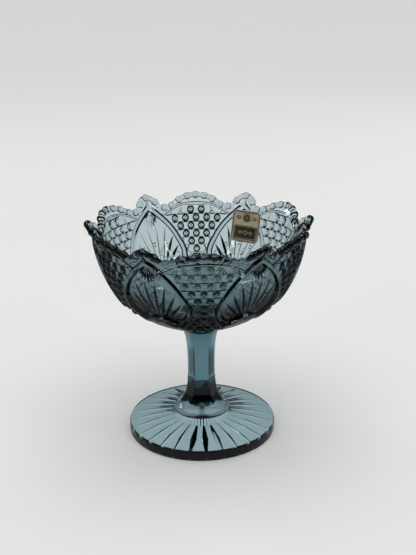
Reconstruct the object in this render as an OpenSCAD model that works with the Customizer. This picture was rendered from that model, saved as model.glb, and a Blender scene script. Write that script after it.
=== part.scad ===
// Pressed glass footed compote: a beaded six-fold bowl on a six-sided stem and a rayed round foot.
// Millimetres, Z up, the foot rests on Z = 0 and the near button panel faces -Y.

/* [Bowl wall] */
// Height of the plain wall from the underside to where the rim flares
wall_rise = 65; // [40:0.5:100]
// Outside radius of the wall where the rim flares
wall_top_radius = 73.1; // [45:0.1:110]
// Glass thickness at the top of the plain wall
wall_thickness = 4.2; // [3:0.1:8]
// Glass thickness in the middle of the bowl
floor_thickness = 6; // [4:0.1:12]
// Curve points of the outside, as shares of the top radius and of the rise
outer_curve_shares = [[0.205, 0], [0.602, 0.042], [0.923, 0.355], [1, 1]];
// Curve points of the inside, as shares of the inner top radius and of the inner rise
inner_curve_shares = [[0, 0], [0.585, 0.008], [0.921, 0.311], [1, 1]];

/* [Rim] */
// Height of the beads' tops above the plain wall, in the middle of a wide scallop
rim_rise = 11; // [9:0.1:20]
// How far the rim leans out past the plain wall, measured outside
flare_reach = 6.6; // [0:0.1:15]
// Glass thickness at the rim's edge
edge_thickness = 3.4; // [2:0.1:6]
// Shape of the flare, as shares of its reach and of its rise
flare_shares = [[0, 0], [0.12, 0.137], [0.33, 0.323], [0.6, 0.526], [0.93, 0.76], [1, 1]];
// Depth of the dips between the scallops
scallop_depth = 7.2; // [3:0.1:14]
// Radius of the arc along a wide scallop's beads
wide_scallop_radius = 31; // [20:0.5:50]
// Radius of the arc along a narrow scallop's beads
narrow_scallop_radius = 8; // [5:0.5:15]
// How far the narrow scallops stand above the wide ones
narrow_scallop_lift = 0.7; // [0:0.1:3]
// Diameter of the beads
bead_diameter = 6.1; // [3:0.1:8]
// Height of the glass between the beads above their middles
bead_web = 1.8; // [0.2:0.1:2.5]
// Number of beads in one repeat of the scallops
beads_per_repeat = 12; // [10:1:13]

/* [Button panels] */
// Diameter of a button
button_diameter = 5.4; // [3:0.1:8]
// How far a button stands out of the wall
button_height = 1.1; // [0.4:0.1:2]
// Angle between neighbouring buttons of a row
button_angle = 6.7; // [5:0.1:9]
// Distance between the button rows, along the wall
button_row_pitch = 6.15; // [4:0.05:9]
// Distance from the wall's top, along the wall, down to the highest row of buttons
button_top_drop = 2.4; // [1:0.1:10]
// Buttons in each row, from the lowest row up
button_counts = [1, 1, 1, 1, 2, 3, 4, 5, 2];
// Width of the arched line over a panel
arch_width = 1.6; // [0.8:0.1:3]
// Height of the arched line's middle above its ends
arch_rise = 6.4; // [3:0.1:10]
// Distance from the wall's top, along the wall, down to the arched line's ends
arch_drop = 3.5; // [1:0.1:12]
// Half of the angle that the arched line spans
arch_half_angle = 18.6; // [10:0.1:22]

/* [Medallions] */
// Height of a medallion along the wall
medallion_height = 58.4; // [40:0.1:80]
// Width of a medallion along the wall
medallion_width = 51.4; // [30:0.1:70]
// How far a medallion's tip reaches above the wall's top, along the leaning rim
medallion_reach = 4.5; // [0:0.1:7]
// How far a medallion's border stands out of the wall
border_height = 1.4; // [0.5:0.1:3]
// Outer edge of the border, as shares of the half width and of the height
border_outer_shares = [
  [0, 1], [0.15, 0.949], [0.248, 0.91], [0.37, 0.865], [0.484, 0.815], [0.601, 0.759],
  [0.7, 0.701], [0.79, 0.635], [0.86, 0.567], [0.92, 0.496], [0.978, 0.427], [1, 0.337],
  [0.956, 0.242], [0.803, 0.129], [0.614, 0.038], [0.473, 0], [0.388, 0.01], [0.292, 0.052],
  [0.189, 0.1], [0.096, 0.129], [0, 0.137]
];
// Inner edge of the border, as shares of the half width and of the height
border_inner_shares = [
  [0, 0.91], [0.132, 0.86], [0.263, 0.808], [0.386, 0.752], [0.495, 0.697], [0.588, 0.636],
  [0.665, 0.573], [0.73, 0.504], [0.794, 0.428], [0.823, 0.359], [0.803, 0.288],
  [0.729, 0.221], [0.647, 0.165], [0.524, 0.106], [0.472, 0.09], [0.41, 0.1], [0.3, 0.13],
  [0.2, 0.155], [0.1, 0.17], [0, 0.175]
];
// How far the fan's flutes stand out of the wall
flute_height = 0.8; // [0.3:0.1:2]
// Angle between neighbouring flutes of the fan
flute_angle = 11; // [7:0.5:15]
// Number of flutes on each side of the fan's middle
flutes_per_side = 4; // [2:1:6]
// Length of the fan from its root along the wall
fan_length = 40; // [20:0.5:55]
// Distance from the fan's root to where the flutes begin
fan_start = 15; // [5:0.5:25]
// Width of a flute at the far end
flute_width = 4.2; // [2:0.1:8]
// Length of the darts that hang from a medallion's tip
dart_length = 12; // [5:0.5:20]
// Width of a dart at its lower end
dart_width = 1.9; // [1:0.1:4]
// Angle between neighbouring darts
dart_angle = 14; // [8:0.5:20]
// Number of darts on each side of a medallion's middle
darts_per_side = 2; // [1:1:3]

/* [Stem] */
// Height of the stem between its collar and its seat
stem_height = 63; // [40:0.5:100]
// Radius over the stem's corners at the waist
stem_waist_radius = 10.1; // [7:0.1:16]
// Corner radius, as shares of the waist radius, against shares of the stem's height
stem_shares = [
  [1.88, 0], [1.68, 0.027], [1.53, 0.055], [1.42, 0.084], [1.3, 0.12], [1.19, 0.16],
  [1.11, 0.21], [1.045, 0.29], [1.005, 0.38], [1, 0.52], [1.018, 0.67], [1.06, 0.775],
  [1.12, 0.838], [1.2, 0.89], [1.3, 0.94], [1.42, 1]
];
// Radius of the round seat between the stem and the bowl
seat_radius = 15.8; // [12:0.1:22]
// Height of the seat
seat_height = 3.5; // [2:0.1:8]
// Radius of the round collar under the stem
collar_radius = 20.6; // [15:0.1:30]
// Height of the collar
collar_height = 3.3; // [1:0.1:6]
// Edge of the collar, as shares of its radius and of its height
collar_shares = [[0.99, 0], [1, 0.3], [0.985, 0.6], [0.94, 1]];

/* [Foot] */
// Radius of the foot
foot_radius = 54; // [35:0.5:80]
// Height of the foot's edge
foot_edge_height = 7.8; // [4:0.1:14]
// Height of the foot's top where the collar stands on it
foot_crown_height = 15.2; // [9:0.1:25]
// Depth of the hollow under the foot, next to the resting ring
foot_hollow = 1; // [0.3:0.1:4]
// How much deeper the hollow is where the rays begin
hollow_rise = 5; // [0:0.1:8]
// How much deeper again it is in its middle, under the stem
hollow_peak = 14; // [0:0.1:18]
// Width of the ring that the foot rests on
foot_ring_width = 2; // [1:0.1:6]
// Radius of the rounding on the foot's edge
foot_edge_round = 1.3; // [0.5:0.1:3]
// Number of rays cut in the underside
ray_count = 27; // [12:1:40]
// Greatest width of a ray
ray_width = 3.6; // [1:0.1:6]
// Greatest depth of a ray
ray_depth = 1.3; // [0.3:0.1:3]
// Distance from the collar to where the rays begin
ray_start_gap = 0.4; // [0.2:0.1:6]
// Distance from the resting ring's slope to where the rays end
ray_end_gap = 0.3; // [0.2:0.1:8]
// Where a ray is widest, as a share of its length
ray_widest_share = 0.48; // [0.3:0.01:0.9]
// Width of a ray at its ends, as a share of its widest
ray_end_share = 0.35; // [0.1:0.01:0.9]
// Turn of the rays against the bowl's pattern
ray_angle = 1.2; // [0:0.1:15]

/* [Label] */
// Width of the label along the wall
label_width = 24; // [10:0.5:35]
// Height of the label along the wall
label_height = 24; // [10:0.5:35]
// Radius of the label's corners
label_corner = 3; // [1:0.1:6]
// Thickness of the label
label_thickness = 0.3; // [0.1:0.05:0.5]
// Margin of the label beside and below its dark field
label_margin = 2; // [1:0.1:6]
// Height of the label's dark field
field_height = 10.5; // [4:0.5:20]
// Thickness of the dark field's ink and varnish
field_thickness = 0.15; // [0.05:0.05:0.3]
// Direction of the label, turned from the near panel's middle
label_angle = 145.5; // [0:0.5:360]
// Distance from the wall's top, along the inside, down to the label's middle
label_drop = 12.2; // [12:0.1:40]

/* [Hidden] */
$fn = 96;
fine_turn = 192;
repeats = 6;
repeat_angle = 360 / repeats;
curve_steps = 16;
corner_steps = 6;
bead_radius = bead_diameter / 2;
inner_top_radius = wall_top_radius - wall_thickness;
stem_base_height = foot_crown_height + collar_height;
stem_top_height = stem_base_height + stem_height;
bowl_base_height = stem_top_height + seat_height;
wall_top_height = bowl_base_height + wall_rise;
floor_height = bowl_base_height + floor_thickness;
inner_rise = wall_rise - floor_thickness;
outward_reach = wall_top_radius + flare_reach + bead_diameter;
lobe_root_radius = inner_top_radius - bead_diameter;
lobe_length = outward_reach;
rest_outer_radius = foot_radius - foot_edge_round;
rest_inner_radius = rest_outer_radius - foot_ring_width;
hollow_radius = rest_inner_radius - foot_hollow;
ray_inner_radius = collar_radius + ray_start_gap;
ray_outer_radius = hollow_radius - ray_end_gap;
edge_top = wall_top_height + rim_rise - bead_radius + bead_web;
flare_rise = edge_top + narrow_scallop_lift - wall_top_height;
dip_level = edge_top - scallop_depth;

// A point of a four-point curve at share t, scaled to a reach and a rise above a level.
function curve(shares, reach, rise, level, t) =
  let (p = (1 - t) ^ 3 * shares[0] + 3 * (1 - t) ^ 2 * t * shares[1]
         + 3 * (1 - t) * t ^ 2 * shares[2] + t ^ 3 * shares[3])
  [p[0] * reach, p[1] * rise + level];

// The plain wall's outside and inside, from the middle of the bowl up to the flare.
outer_wall = [for (i = [0:curve_steps])
  curve(outer_curve_shares, wall_top_radius, wall_rise, bowl_base_height, i / curve_steps)];
inner_wall = [for (i = [0:curve_steps])
  curve(inner_curve_shares, inner_top_radius, inner_rise, floor_height, i / curve_steps)];

// The leaning rim's outside and inside, from the plain wall up to the edge.
flare_length = norm([flare_reach, flare_rise]);
edge_in = edge_thickness * flare_rise / flare_length;
edge_up = edge_thickness * flare_reach / flare_length;
outer_edge = [wall_top_radius + flare_reach, wall_top_height + flare_rise];
inner_edge = outer_edge + [-edge_in, edge_up];
outer_flare = [for (s = flare_shares)
  [wall_top_radius + s[0] * flare_reach, wall_top_height + s[1] * flare_rise]];
inner_flare = [for (s = flare_shares)
  [inner_top_radius + s[0] * (inner_edge[0] - inner_top_radius),
   wall_top_height + s[1] * (inner_edge[1] - wall_top_height)]];
bead_line = [for (i = [0:len(flare_shares) - 1]) (outer_flare[i] + inner_flare[i]) / 2];
bead_radius_at = [for (p = bead_line) [p[1], p[0]]];

outer_line = concat(outer_wall, [for (i = [1:len(outer_flare) - 1]) outer_flare[i]]);
inner_line = concat(inner_wall, [for (i = [1:len(inner_flare) - 1]) inner_flare[i]]);

// Distance along a line from its first point to each of its points.
function runs(line, i = 0, so_far = 0) =
  i == len(line) ? []
  : let (here = i == 0 ? 0 : so_far + norm(line[i] - line[i - 1]))
    concat([here], runs(line, i + 1, here));
function pairs(keys, line, axis) = [for (i = [0:len(line) - 1]) [keys[i], line[i][axis]]];

// Runs of the pattern's places, which hang from the wall's top.
wall_run = runs(outer_wall)[curve_steps];
arch_run = wall_run - arch_drop;
button_start_run = wall_run - button_top_drop - (len(button_counts) - 1) * button_row_pitch;
medallion_run = wall_run + medallion_reach - medallion_height;
label_run = runs(inner_wall)[curve_steps] - label_drop;

outer_runs = runs(outer_line);
inner_runs = runs(inner_line);
outer_radius_at = pairs(outer_runs, outer_line, 0);
outer_height_at = pairs(outer_runs, outer_line, 1);
inner_radius_at = pairs(inner_runs, inner_line, 0);
inner_height_at = pairs(inner_runs, inner_line, 1);

// A point on the wall, across and along it, as seen square on from outside or inside.
function seen(across, run, radii, heights) =
  let (r = lookup(run, radii)) [r * sin(across / r * 180 / PI), lookup(run, heights)];
function outside(across, run) = seen(across, run, outer_radius_at, outer_height_at);
function inside(across, run) = seen(across, run, inner_radius_at, inner_height_at);

// The outward direction across a line's point, found from its neighbours.
function across_line(line, i) =
  let (a = line[max(i - 1, 0)], b = line[min(i + 1, len(line) - 1)], d = (b - a) / norm(b - a))
  [d[1], -d[0]];
function moved(line, by) = [for (i = [0:len(line) - 1]) line[i] + by * across_line(line, i)];
function reversed(line) = [for (i = [len(line) - 1:-1:0]) line[i]];
function mirrored(line) = [for (i = [len(line) - 2:-1:1]) [-line[i][0], line[i][1]]];

// A closed half outline in shares made whole and laid on the wall.
function laid(shares) =
  let (half = [for (s = shares)
    [s[0] * medallion_width / 2, medallion_run + s[1] * medallion_height]])
  [for (p = concat(half, mirrored(half))) outside(p[0], p[1])];

// Turns what faces -Y to the given angle.
module toward(angle) rotate([0, 0, angle]) children();

// Repeats what faces -Y over every panel, or over every medallion with half a repeat of turn.
module around(turn = 0) for (i = [0:repeats - 1]) toward(turn + i * repeat_angle) children();

// A flat outline pushed outward through the wall on the -Y side.
module through(near = lobe_root_radius / 2)
  translate([0, -near, 0]) rotate([90, 0, 0])
    linear_extrude(height = outward_reach - near) children();

// The glass between the wall's outside and a skin lifted off it.
module outer_skin(lift)
  rotate_extrude() polygon(concat(outer_line, reversed(moved(outer_line, lift))));

// The glass or paper between two skins lifted off the wall's inside.
module inner_skin(from, to)
  rotate_extrude() polygon([for (p = concat(
    moved(inner_line, -from), reversed(moved(inner_line, -to)))) [max(p[0], 0), p[1]]]);

// Everything inside the bowl's outside, with the hollow filled.
module filled_bowl()
  rotate_extrude($fn = fine_turn)
    polygon(concat([[0, bowl_base_height]], outer_line, [[0, outer_edge[1]]]));

// The bowl's turned wall before its edge is cut.
module turned_wall()
  rotate_extrude() polygon(concat([[0, bowl_base_height]], outer_line, reversed(inner_line)));

// What the scalloped edge leaves standing: the edge joins the beads a little above their middles.
module scallop_limit() {
  cylinder(h = dip_level, r = outward_reach);
  around() translate([0, -lobe_root_radius, edge_top - wide_scallop_radius])
    rotate([90, 0, 0]) cylinder(h = lobe_length, r = wide_scallop_radius);
  around(repeat_angle / 2)
    translate([0, -lobe_root_radius, edge_top + narrow_scallop_lift - narrow_scallop_radius])
      rotate([90, 0, 0]) cylinder(h = lobe_length, r = narrow_scallop_radius);
}

// Height of a round scallop's edge at a distance across it, or the dips' where it has ended.
function arc_level(across, radius, top) =
  abs(across) < radius ? max(dip_level, top - radius + sqrt(radius ^ 2 - across ^ 2)) : dip_level;
function edge_level(turn, radius) = max(
  arc_level(radius * sin(turn), wide_scallop_radius, edge_top),
  arc_level(radius * sin(repeat_angle - turn), wide_scallop_radius, edge_top),
  arc_level(radius * sin(repeat_angle / 2 - turn), narrow_scallop_radius,
    edge_top + narrow_scallop_lift));

// The round beads of the edge, which stand out of it above and on both faces.
module edge_beads()
  around() for (i = [0:beads_per_repeat - 1]) {
    turn = i * repeat_angle / beads_per_repeat;
    first_level = edge_level(turn, lookup(dip_level, bead_radius_at)) - bead_web;
    level = edge_level(turn, lookup(first_level, bead_radius_at)) - bead_web;
    toward(turn) translate([0, -lookup(level, bead_radius_at), level]) sphere(r = bead_radius);
  }

module bowl() {
  color("LightSteelBlue") difference() {
    intersection() {
      turned_wall();
      scallop_limit();
    }
    edge_beads();
  }
}

module rim_beads() {
  color("SteelBlue") edge_beads();
}

// One button, set square on the wall with its foot sunk below the surface.
module button(run) {
  step = button_diameter / 2;
  low = [lookup(run - step, outer_radius_at), lookup(run - step, outer_height_at)];
  high = [lookup(run + step, outer_radius_at), lookup(run + step, outer_height_at)];
  lean = atan2(high[0] - low[0], high[1] - low[1]);
  translate([0, -lookup(run, outer_radius_at), lookup(run, outer_height_at)])
    rotate([90 + lean, 0, 0]) rotate_extrude() polygon([
      [0, -button_height], [step, -button_height], [step, button_height * 0.3],
      [step * 0.85, button_height * 0.75], [step * 0.5, button_height], [0, button_height]
    ]);
}

module buttons() {
  color("CadetBlue") difference() {
    around() for (row = [0:len(button_counts) - 1])
      for (i = [0:button_counts[row] - 1])
        toward((i - (button_counts[row] - 1) / 2) * button_angle)
          button(button_start_run + row * button_row_pitch);
    filled_bowl();
  }
}

// One edge of the arched line, as wall points from left to right.
function arch_edge(lift) = [for (s = [-1:0.25:1])
  let (run = arch_run + arch_rise * (1 - s ^ 2) + lift, r = lookup(run, outer_radius_at))
  [r * sin(s * arch_half_angle), lookup(run, outer_height_at)]];

module panel_arches() {
  color("SkyBlue") intersection() {
    outer_skin(flute_height);
    around() through()
      polygon(concat(arch_edge(-arch_width / 2), reversed(arch_edge(arch_width / 2))));
  }
}

module medallion_borders() {
  color("PowderBlue") intersection() {
    outer_skin(border_height);
    around(repeat_angle / 2) through() difference() {
      polygon(laid(border_outer_shares));
      polygon(laid(border_inner_shares));
    }
  }
}

// A tapered rib from one distance to another from a root, at an angle from straight up.
module rib(root, angle, from, to, near_width, far_width) {
  function edge(side, s) =
    let (d = from + s * (to - from), w = side * (near_width + s * (far_width - near_width)) / 2)
    outside(d * sin(angle) + w * cos(angle), root + d * cos(angle) - w * sin(angle));
  polygon(concat([for (s = [0:0.25:1]) edge(-1, s)], [for (s = [1:-0.25:0]) edge(1, s)]));
}

module medallion_fans() {
  fan_root = medallion_run;
  tip = medallion_run + medallion_height * border_inner_shares[0][1];
  color("LightBlue") intersection() {
    outer_skin(flute_height);
    around(repeat_angle / 2) through() intersection() {
      union() {
        for (i = [-flutes_per_side:flutes_per_side])
          rib(fan_root, i * flute_angle, fan_start, fan_length, flute_width / 3, flute_width);
        for (i = [-darts_per_side:darts_per_side])
          rib(tip, 180 + i * dart_angle, dart_length / 4, dart_length, dart_width / 3, dart_width);
      }
      polygon(laid(border_inner_shares));
    }
  }
}

module seat() {
  color("LightSlateGray") rotate_extrude() polygon([
    [0, stem_top_height], [seat_radius * 0.94, stem_top_height],
    [seat_radius, (2 * stem_top_height + bowl_base_height) / 3],
    [seat_radius * 0.99, (stem_top_height + 2 * bowl_base_height) / 3],
    [wall_top_radius * outer_curve_shares[0][0], bowl_base_height], [0, bowl_base_height]
  ]);
}

module stem() {
  color("SlateGray") difference() {
    rotate_extrude($fn = repeats) polygon(concat(
      [[0, stem_base_height]],
      [for (s = stem_shares) [s[0] * stem_waist_radius, stem_base_height + s[1] * stem_height]],
      [[0, stem_top_height]]
    ));
    underside_hollow();
  }
}

module collar() {
  color("LightSlateGray") difference() {
    rotate_extrude() polygon(concat(
      [[0, foot_crown_height]],
      [for (s = collar_shares) [s[0] * collar_radius, foot_crown_height + s[1] * collar_height]],
      [[0, stem_base_height]]
    ));
    underside_hollow();
  }
}

// A quarter of a rounding about a centre, from one angle to the next.
function rounding(centre, radius, from) = [for (i = [0:corner_steps])
  centre + radius * [cos(from + 90 * i / corner_steps), sin(from + 90 * i / corner_steps)]];

// One ray's cutter: a flat four-sided bar narrowing to both ends, lying towards -Y along the hollow's slope.
module ray_cutter() {
  slope = atan(hollow_rise / (hollow_radius - ray_inner_radius));
  length = (ray_outer_radius - ray_inner_radius) / cos(slope);
  half = ray_width / 2;
  stations = [[0, ray_end_share], [length * ray_widest_share, 1], [length, ray_end_share]];
  corners = [[half, 0], [0, ray_depth], [-half, 0], [0, -ray_depth]];
  translate([0, -ray_inner_radius, foot_hollow + hollow_rise]) rotate([90 + slope, 0, 0])
    polyhedron(
      points = [for (s = stations) for (c = corners) [c[0] * s[1], c[1] * s[1], s[0]]],
      faces = concat(
        [[0, 1, 2, 3], [11, 10, 9, 8]],
        [for (k = [0, 4]) for (i = [0:3]) [k + i, k + i + 4, k + (i + 1) % 4 + 4, k + (i + 1) % 4]]
      )
    );
}

// The hollow under the foot, run on below it. It rises in a cone through the collar into the stem.
module underside_hollow() {
  slope_top = foot_hollow + hollow_rise;
  rotate_extrude() polygon([
    [0, -foot_hollow], [rest_inner_radius + foot_hollow, -foot_hollow], [hollow_radius, foot_hollow],
    [ray_inner_radius, slope_top],
    [ray_inner_radius * 0.15, slope_top + hollow_peak * 0.93], [0, slope_top + hollow_peak]
  ]);
}

module foot() {
  color("LightSteelBlue") difference() {
    rotate_extrude() polygon(concat(
      [[0, 0], [rest_inner_radius, 0]],
      rounding([rest_outer_radius, foot_edge_round], foot_edge_round, 270),
      rounding([rest_outer_radius, foot_edge_height - foot_edge_round], foot_edge_round, 0),
      [[collar_radius * collar_shares[0][0], foot_crown_height], [0, foot_crown_height]]
    ));
    underside_hollow();
    for (i = [0:ray_count - 1]) toward(ray_angle + i * 360 / ray_count) ray_cutter();
  }
}

// A rounded outline on the label, from its foot margin up to a height, as seen square on from inside.
function label_outline(margin, height) =
  let (w = label_width / 2 - margin, h = height / 2, middle = label_run - label_height / 2 + margin + h,
       corner = max(label_corner - margin, label_corner / 3))
  [for (q = [0:3]) for (p = rounding(
    [(q == 0 || q == 3 ? 1 : -1) * (w - corner), (q < 2 ? 1 : -1) * (h - corner)],
    corner, q * 90)) inside(p[0], middle + p[1])];

module label() {
  color("Khaki") intersection() {
    inner_skin(0, label_thickness);
    toward(label_angle) through() polygon(label_outline(0, label_height));
  }
}

module label_field() {
  color("SaddleBrown") intersection() {
    inner_skin(label_thickness, label_thickness + field_thickness);
    toward(label_angle) through() polygon(label_outline(label_margin, field_height));
  }
}

bowl();
rim_beads();
buttons();
panel_arches();
medallion_borders();
medallion_fans();
seat();
stem();
collar();
foot();
label();
label_field();
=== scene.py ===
"""Looks of the footed pressed-glass bowl: its relief, beads, stem and foot, the label and the studio.

The sizes of the pieces are in millimetres and become metres when a mesh is made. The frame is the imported
part's: Z up, with the near button panel facing -Y.
"""

import logging
import math
from collections.abc import Callable
from dataclasses import dataclass, field
from enum import Enum

import bpy
import numpy as np
from mathutils import Matrix, Vector
from mathutils.geometry import delaunay_2d_cdt


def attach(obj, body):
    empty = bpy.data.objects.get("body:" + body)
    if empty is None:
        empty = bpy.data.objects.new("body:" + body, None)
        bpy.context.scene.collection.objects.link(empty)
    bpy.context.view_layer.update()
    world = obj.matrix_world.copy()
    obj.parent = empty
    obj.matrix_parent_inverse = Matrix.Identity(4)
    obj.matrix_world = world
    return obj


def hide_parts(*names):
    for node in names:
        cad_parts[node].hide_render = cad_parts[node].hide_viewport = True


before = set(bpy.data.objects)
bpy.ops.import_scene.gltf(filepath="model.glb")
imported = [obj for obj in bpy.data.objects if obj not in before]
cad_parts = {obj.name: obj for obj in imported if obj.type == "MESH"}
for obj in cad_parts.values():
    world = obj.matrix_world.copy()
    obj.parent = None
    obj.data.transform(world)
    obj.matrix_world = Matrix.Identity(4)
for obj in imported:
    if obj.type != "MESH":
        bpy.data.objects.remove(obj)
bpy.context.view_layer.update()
LOG = logging.getLogger("footed_bowl")
MM = 0.001
REPEATS = 6
HALF = math.pi / REPEATS
BAND_SHOULDER = 0.48
LEAF_END = 0.12
LEAF_FULLNESS = 0.8
CHART_LOW_GAP = 0.5
CHART_TOP_GAP = 0.8
CHART_SNAP = 0.06
LEAST_RELIEF = 0.02
TINY = 1e-12


class Relief(Enum):
    """How a moulded line's cross-section rises or falls."""

    VEE = "vee"
    ROUND = "round"
    BAND = "band"


@dataclass(frozen=True)
class GlassFinish:
    """Tinted pressed glass: how it swallows each colour over its depth, and its moulded skin."""

    name: str
    depth_tint: tuple[float, float, float] = (0.075, 0.37, 0.437)
    depth_strength: float = 135.0
    index: float = 1.5
    skin_scale: float = 170.0
    skin_height: float = 0.00004

    def material(self) -> bpy.types.Material:
        """Builds the material.

        Returns:
            The glass material, with its volume tint and its rippled skin.
        """
        mat, nodes, links, shader, out = fresh_material(self.name)
        shader.inputs["Base Color"].default_value = (1, 1, 1, 1)
        shader.inputs["Transmission Weight"].default_value = 1.0
        shader.inputs["IOR"].default_value = self.index
        tint = nodes.new("ShaderNodeVolumeAbsorption")
        tint.inputs["Color"].default_value = (*self.depth_tint, 1)
        tint.inputs["Density"].default_value = self.depth_strength
        links.new(tint.outputs["Volume"], out.inputs["Volume"])
        place = nodes.new("ShaderNodeTexCoord")
        skin = nodes.new("ShaderNodeGroup")
        skin.node_tree = moulded_skin()
        skin.inputs["Scale"].default_value = self.skin_scale
        links.new(place.outputs["Object"], skin.inputs["Vector"])
        links.new(skin.outputs["Roughness"], shader.inputs["Roughness"])
        add_bump(mat, skin.outputs["Height"], self.skin_height)
        return mat


@dataclass(frozen=True)
class PaperFinish:
    """Printed label stock: a ground colour with mottling, a faint fibre and a soft sheen."""

    name: str
    colour: tuple[float, float, float]
    mottle: tuple[float, float, float]
    roughness: float
    roughness_spread: float = 0.08
    grain_scale: float = 2600.0
    grain_height: float = 0.00002
    mottle_size: float = 10.0
    mottle_detail: float = 4.0
    mottle_edges: tuple[float, float] = (0.3, 0.6)

    def material(self) -> bpy.types.Material:
        """Builds the material.

        Returns:
            The paper or ink material.
        """
        mat, nodes, links, shader, _ = fresh_material(self.name)
        place = nodes.new("ShaderNodeTexCoord")
        patch = nodes.new("ShaderNodeTexNoise")
        patch.inputs["Scale"].default_value = self.grain_scale / self.mottle_size
        patch.inputs["Detail"].default_value = self.mottle_detail
        fibre = nodes.new("ShaderNodeTexNoise")
        fibre.inputs["Scale"].default_value = self.grain_scale
        for noise in (patch, fibre):
            links.new(place.outputs["Object"], noise.inputs["Vector"])
        ramp = nodes.new("ShaderNodeValToRGB")
        for stop, edge, tone in zip(ramp.color_ramp.elements, self.mottle_edges, (self.mottle, self.colour)):
            stop.position, stop.color = edge, (*tone, 1)
        links.new(patch.outputs["Fac"], ramp.inputs["Fac"])
        links.new(ramp.outputs["Color"], shader.inputs["Base Color"])
        rough = nodes.new("ShaderNodeMapRange")
        rough.inputs["To Min"].default_value = self.roughness - self.roughness_spread
        rough.inputs["To Max"].default_value = self.roughness + self.roughness_spread
        links.new(fibre.outputs["Fac"], rough.inputs["Value"])
        links.new(rough.outputs["Result"], shader.inputs["Roughness"])
        add_bump(mat, fibre.outputs["Fac"], self.grain_height)
        return mat


class Sums:
    """Adds sums to a shader node tree."""

    def __init__(self, tree: bpy.types.NodeTree) -> None:
        """Keeps the tree that the nodes go into."""
        self.tree = tree

    def add(self, kind: str) -> bpy.types.Node:
        """Adds a shader node of a kind and returns it."""
        return self.tree.nodes.new(f"ShaderNode{kind}")

    def value(self, operation: str, *taken: object) -> bpy.types.NodeSocket:
        """Adds a sum on one or two sockets or numbers.

        Args:
            operation: What is done.
            taken: The sockets and numbers.

        Returns:
            The result.
        """
        node = self.add("Math")
        node.operation = operation
        for socket, item in zip(node.inputs, taken):
            if isinstance(item, bpy.types.NodeSocket):
                self.tree.links.new(item, socket)
            else:
                socket.default_value = item
        return node.outputs[0]

    def product(self, first: object, *rest: object) -> bpy.types.NodeSocket:
        """Multiplies sockets and numbers.

        Args:
            first: A socket or a number.
            rest: What it is multiplied by.

        Returns:
            The result.
        """
        for item in rest:
            first = self.value("MULTIPLY", first, item)
        return first

    def less(self, taken: object) -> bpy.types.NodeSocket:
        """Returns 1 less a socket's value."""
        return self.value("SUBTRACT", 1.0, taken)

    def mirrored(self, seen: bpy.types.Node) -> bpy.types.NodeSocket:
        """Returns 1 for a ray that a surface mirrored and 0 for one that went through it."""
        return self.value("SUBTRACT", seen.outputs["Is Glossy Ray"], seen.outputs["Is Transmission Ray"])

    def step(
        self, taken: bpy.types.NodeSocket, low: float, high: float, before: float = 0.0, after: float = 1.0
    ) -> bpy.types.NodeSocket:
        """Adds a smooth step.

        Args:
            taken: The value that is looked at.
            low: Where the step begins.
            high: Where it ends, which may be less.
            before: What it puts out on the side of the beginning.
            after: What it puts out on the side of the end.

        Returns:
            The result.
        """
        if low > high:
            low, high, before, after = high, low, after, before
        node = self.add("MapRange")
        node.interpolation_type = "SMOOTHSTEP"
        for name, number in (("From Min", low), ("From Max", high), ("To Min", before), ("To Max", after)):
            node.inputs[name].default_value = number
        self.tree.links.new(taken, node.inputs["Value"])
        return node.outputs["Result"]


@dataclass(frozen=True)
class StageFinish:
    """The matt pale surface that the bowl stands on, which glows behind glass as a pale ground with painted
    shade and light on it.
    """

    name: str
    colour: tuple[float, float, float]
    roughness: float = 0.9
    cloud_scale: float = 3.0
    cloud_share: float = 0.97
    few_layers: float = 2.0
    near_wall_layers: float = 4.0
    behind_glass: float = 0.82
    # Painted shade: the ground's glow for rays mirrored inside the glass, and for rays through many layers
    mirrored: float = 0.06
    many_layers: float = 0.7
    outside_mirrored: float = 0.3

    def material(self) -> bpy.types.Material:
        """Builds the surface: matt with a faint mottling, and for rays that met the glass a glowing ground
        with painted shade and light.

        Returns:
            The table's material.
        """
        mat, _, links, shader, out = fresh_material(self.name)
        shader.inputs["Roughness"].default_value = self.roughness
        sums = Sums(mat.node_tree)
        place, cloud, ramp = (sums.add(kind) for kind in ("TexCoord", "TexNoise", "ValToRGB"))
        cloud.inputs["Scale"].default_value = self.cloud_scale
        links.new(place.outputs["Object"], cloud.inputs["Vector"])
        ramp.color_ramp.elements[0].color = (*(c * self.cloud_share for c in self.colour), 1)
        ramp.color_ramp.elements[1].color = (*self.colour, 1)
        links.new(cloud.outputs["Fac"], ramp.inputs["Fac"])
        links.new(ramp.outputs["Color"], shader.inputs["Base Color"])
        kinds = ("LightPath", "Emission", "MixShader", "Group")
        seen, ground, pick, flags = (sums.add(kind) for kind in kinds)
        flags.node_tree = PaintedGroundLightAndShade().group()
        links.new(place.outputs["Object"], flags.inputs["Vector"])
        layers = (self.few_layers, self.near_wall_layers)
        # Painted shade: the ground glows dimmer for rays mirrored inside the glass and for rays through many
        # layers; the painted ground light and shade group darkens or brightens it in places
        level = sums.product(
            sums.step(seen.outputs["Glossy Depth"], 0.0, 1.0, self.behind_glass, self.mirrored),
            sums.step(seen.outputs["Transmission Depth"], *layers, 1.0, self.many_layers),
            flags.outputs["Share"],
        )
        outside = sums.product(sums.mirrored(seen), self.outside_mirrored)
        through = sums.product(seen.outputs["Is Transmission Ray"], level)
        links.new(sums.value("ADD", outside, through), ground.inputs["Strength"])
        either = sums.value("MAXIMUM", seen.outputs["Is Transmission Ray"], seen.outputs["Is Glossy Ray"])
        links.new(either, pick.inputs[0])
        links.new(shader.outputs["BSDF"], pick.inputs[1])
        links.new(ground.outputs["Emission"], pick.inputs[2])
        links.new(pick.outputs["Shader"], out.inputs["Surface"])
        return mat


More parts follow.
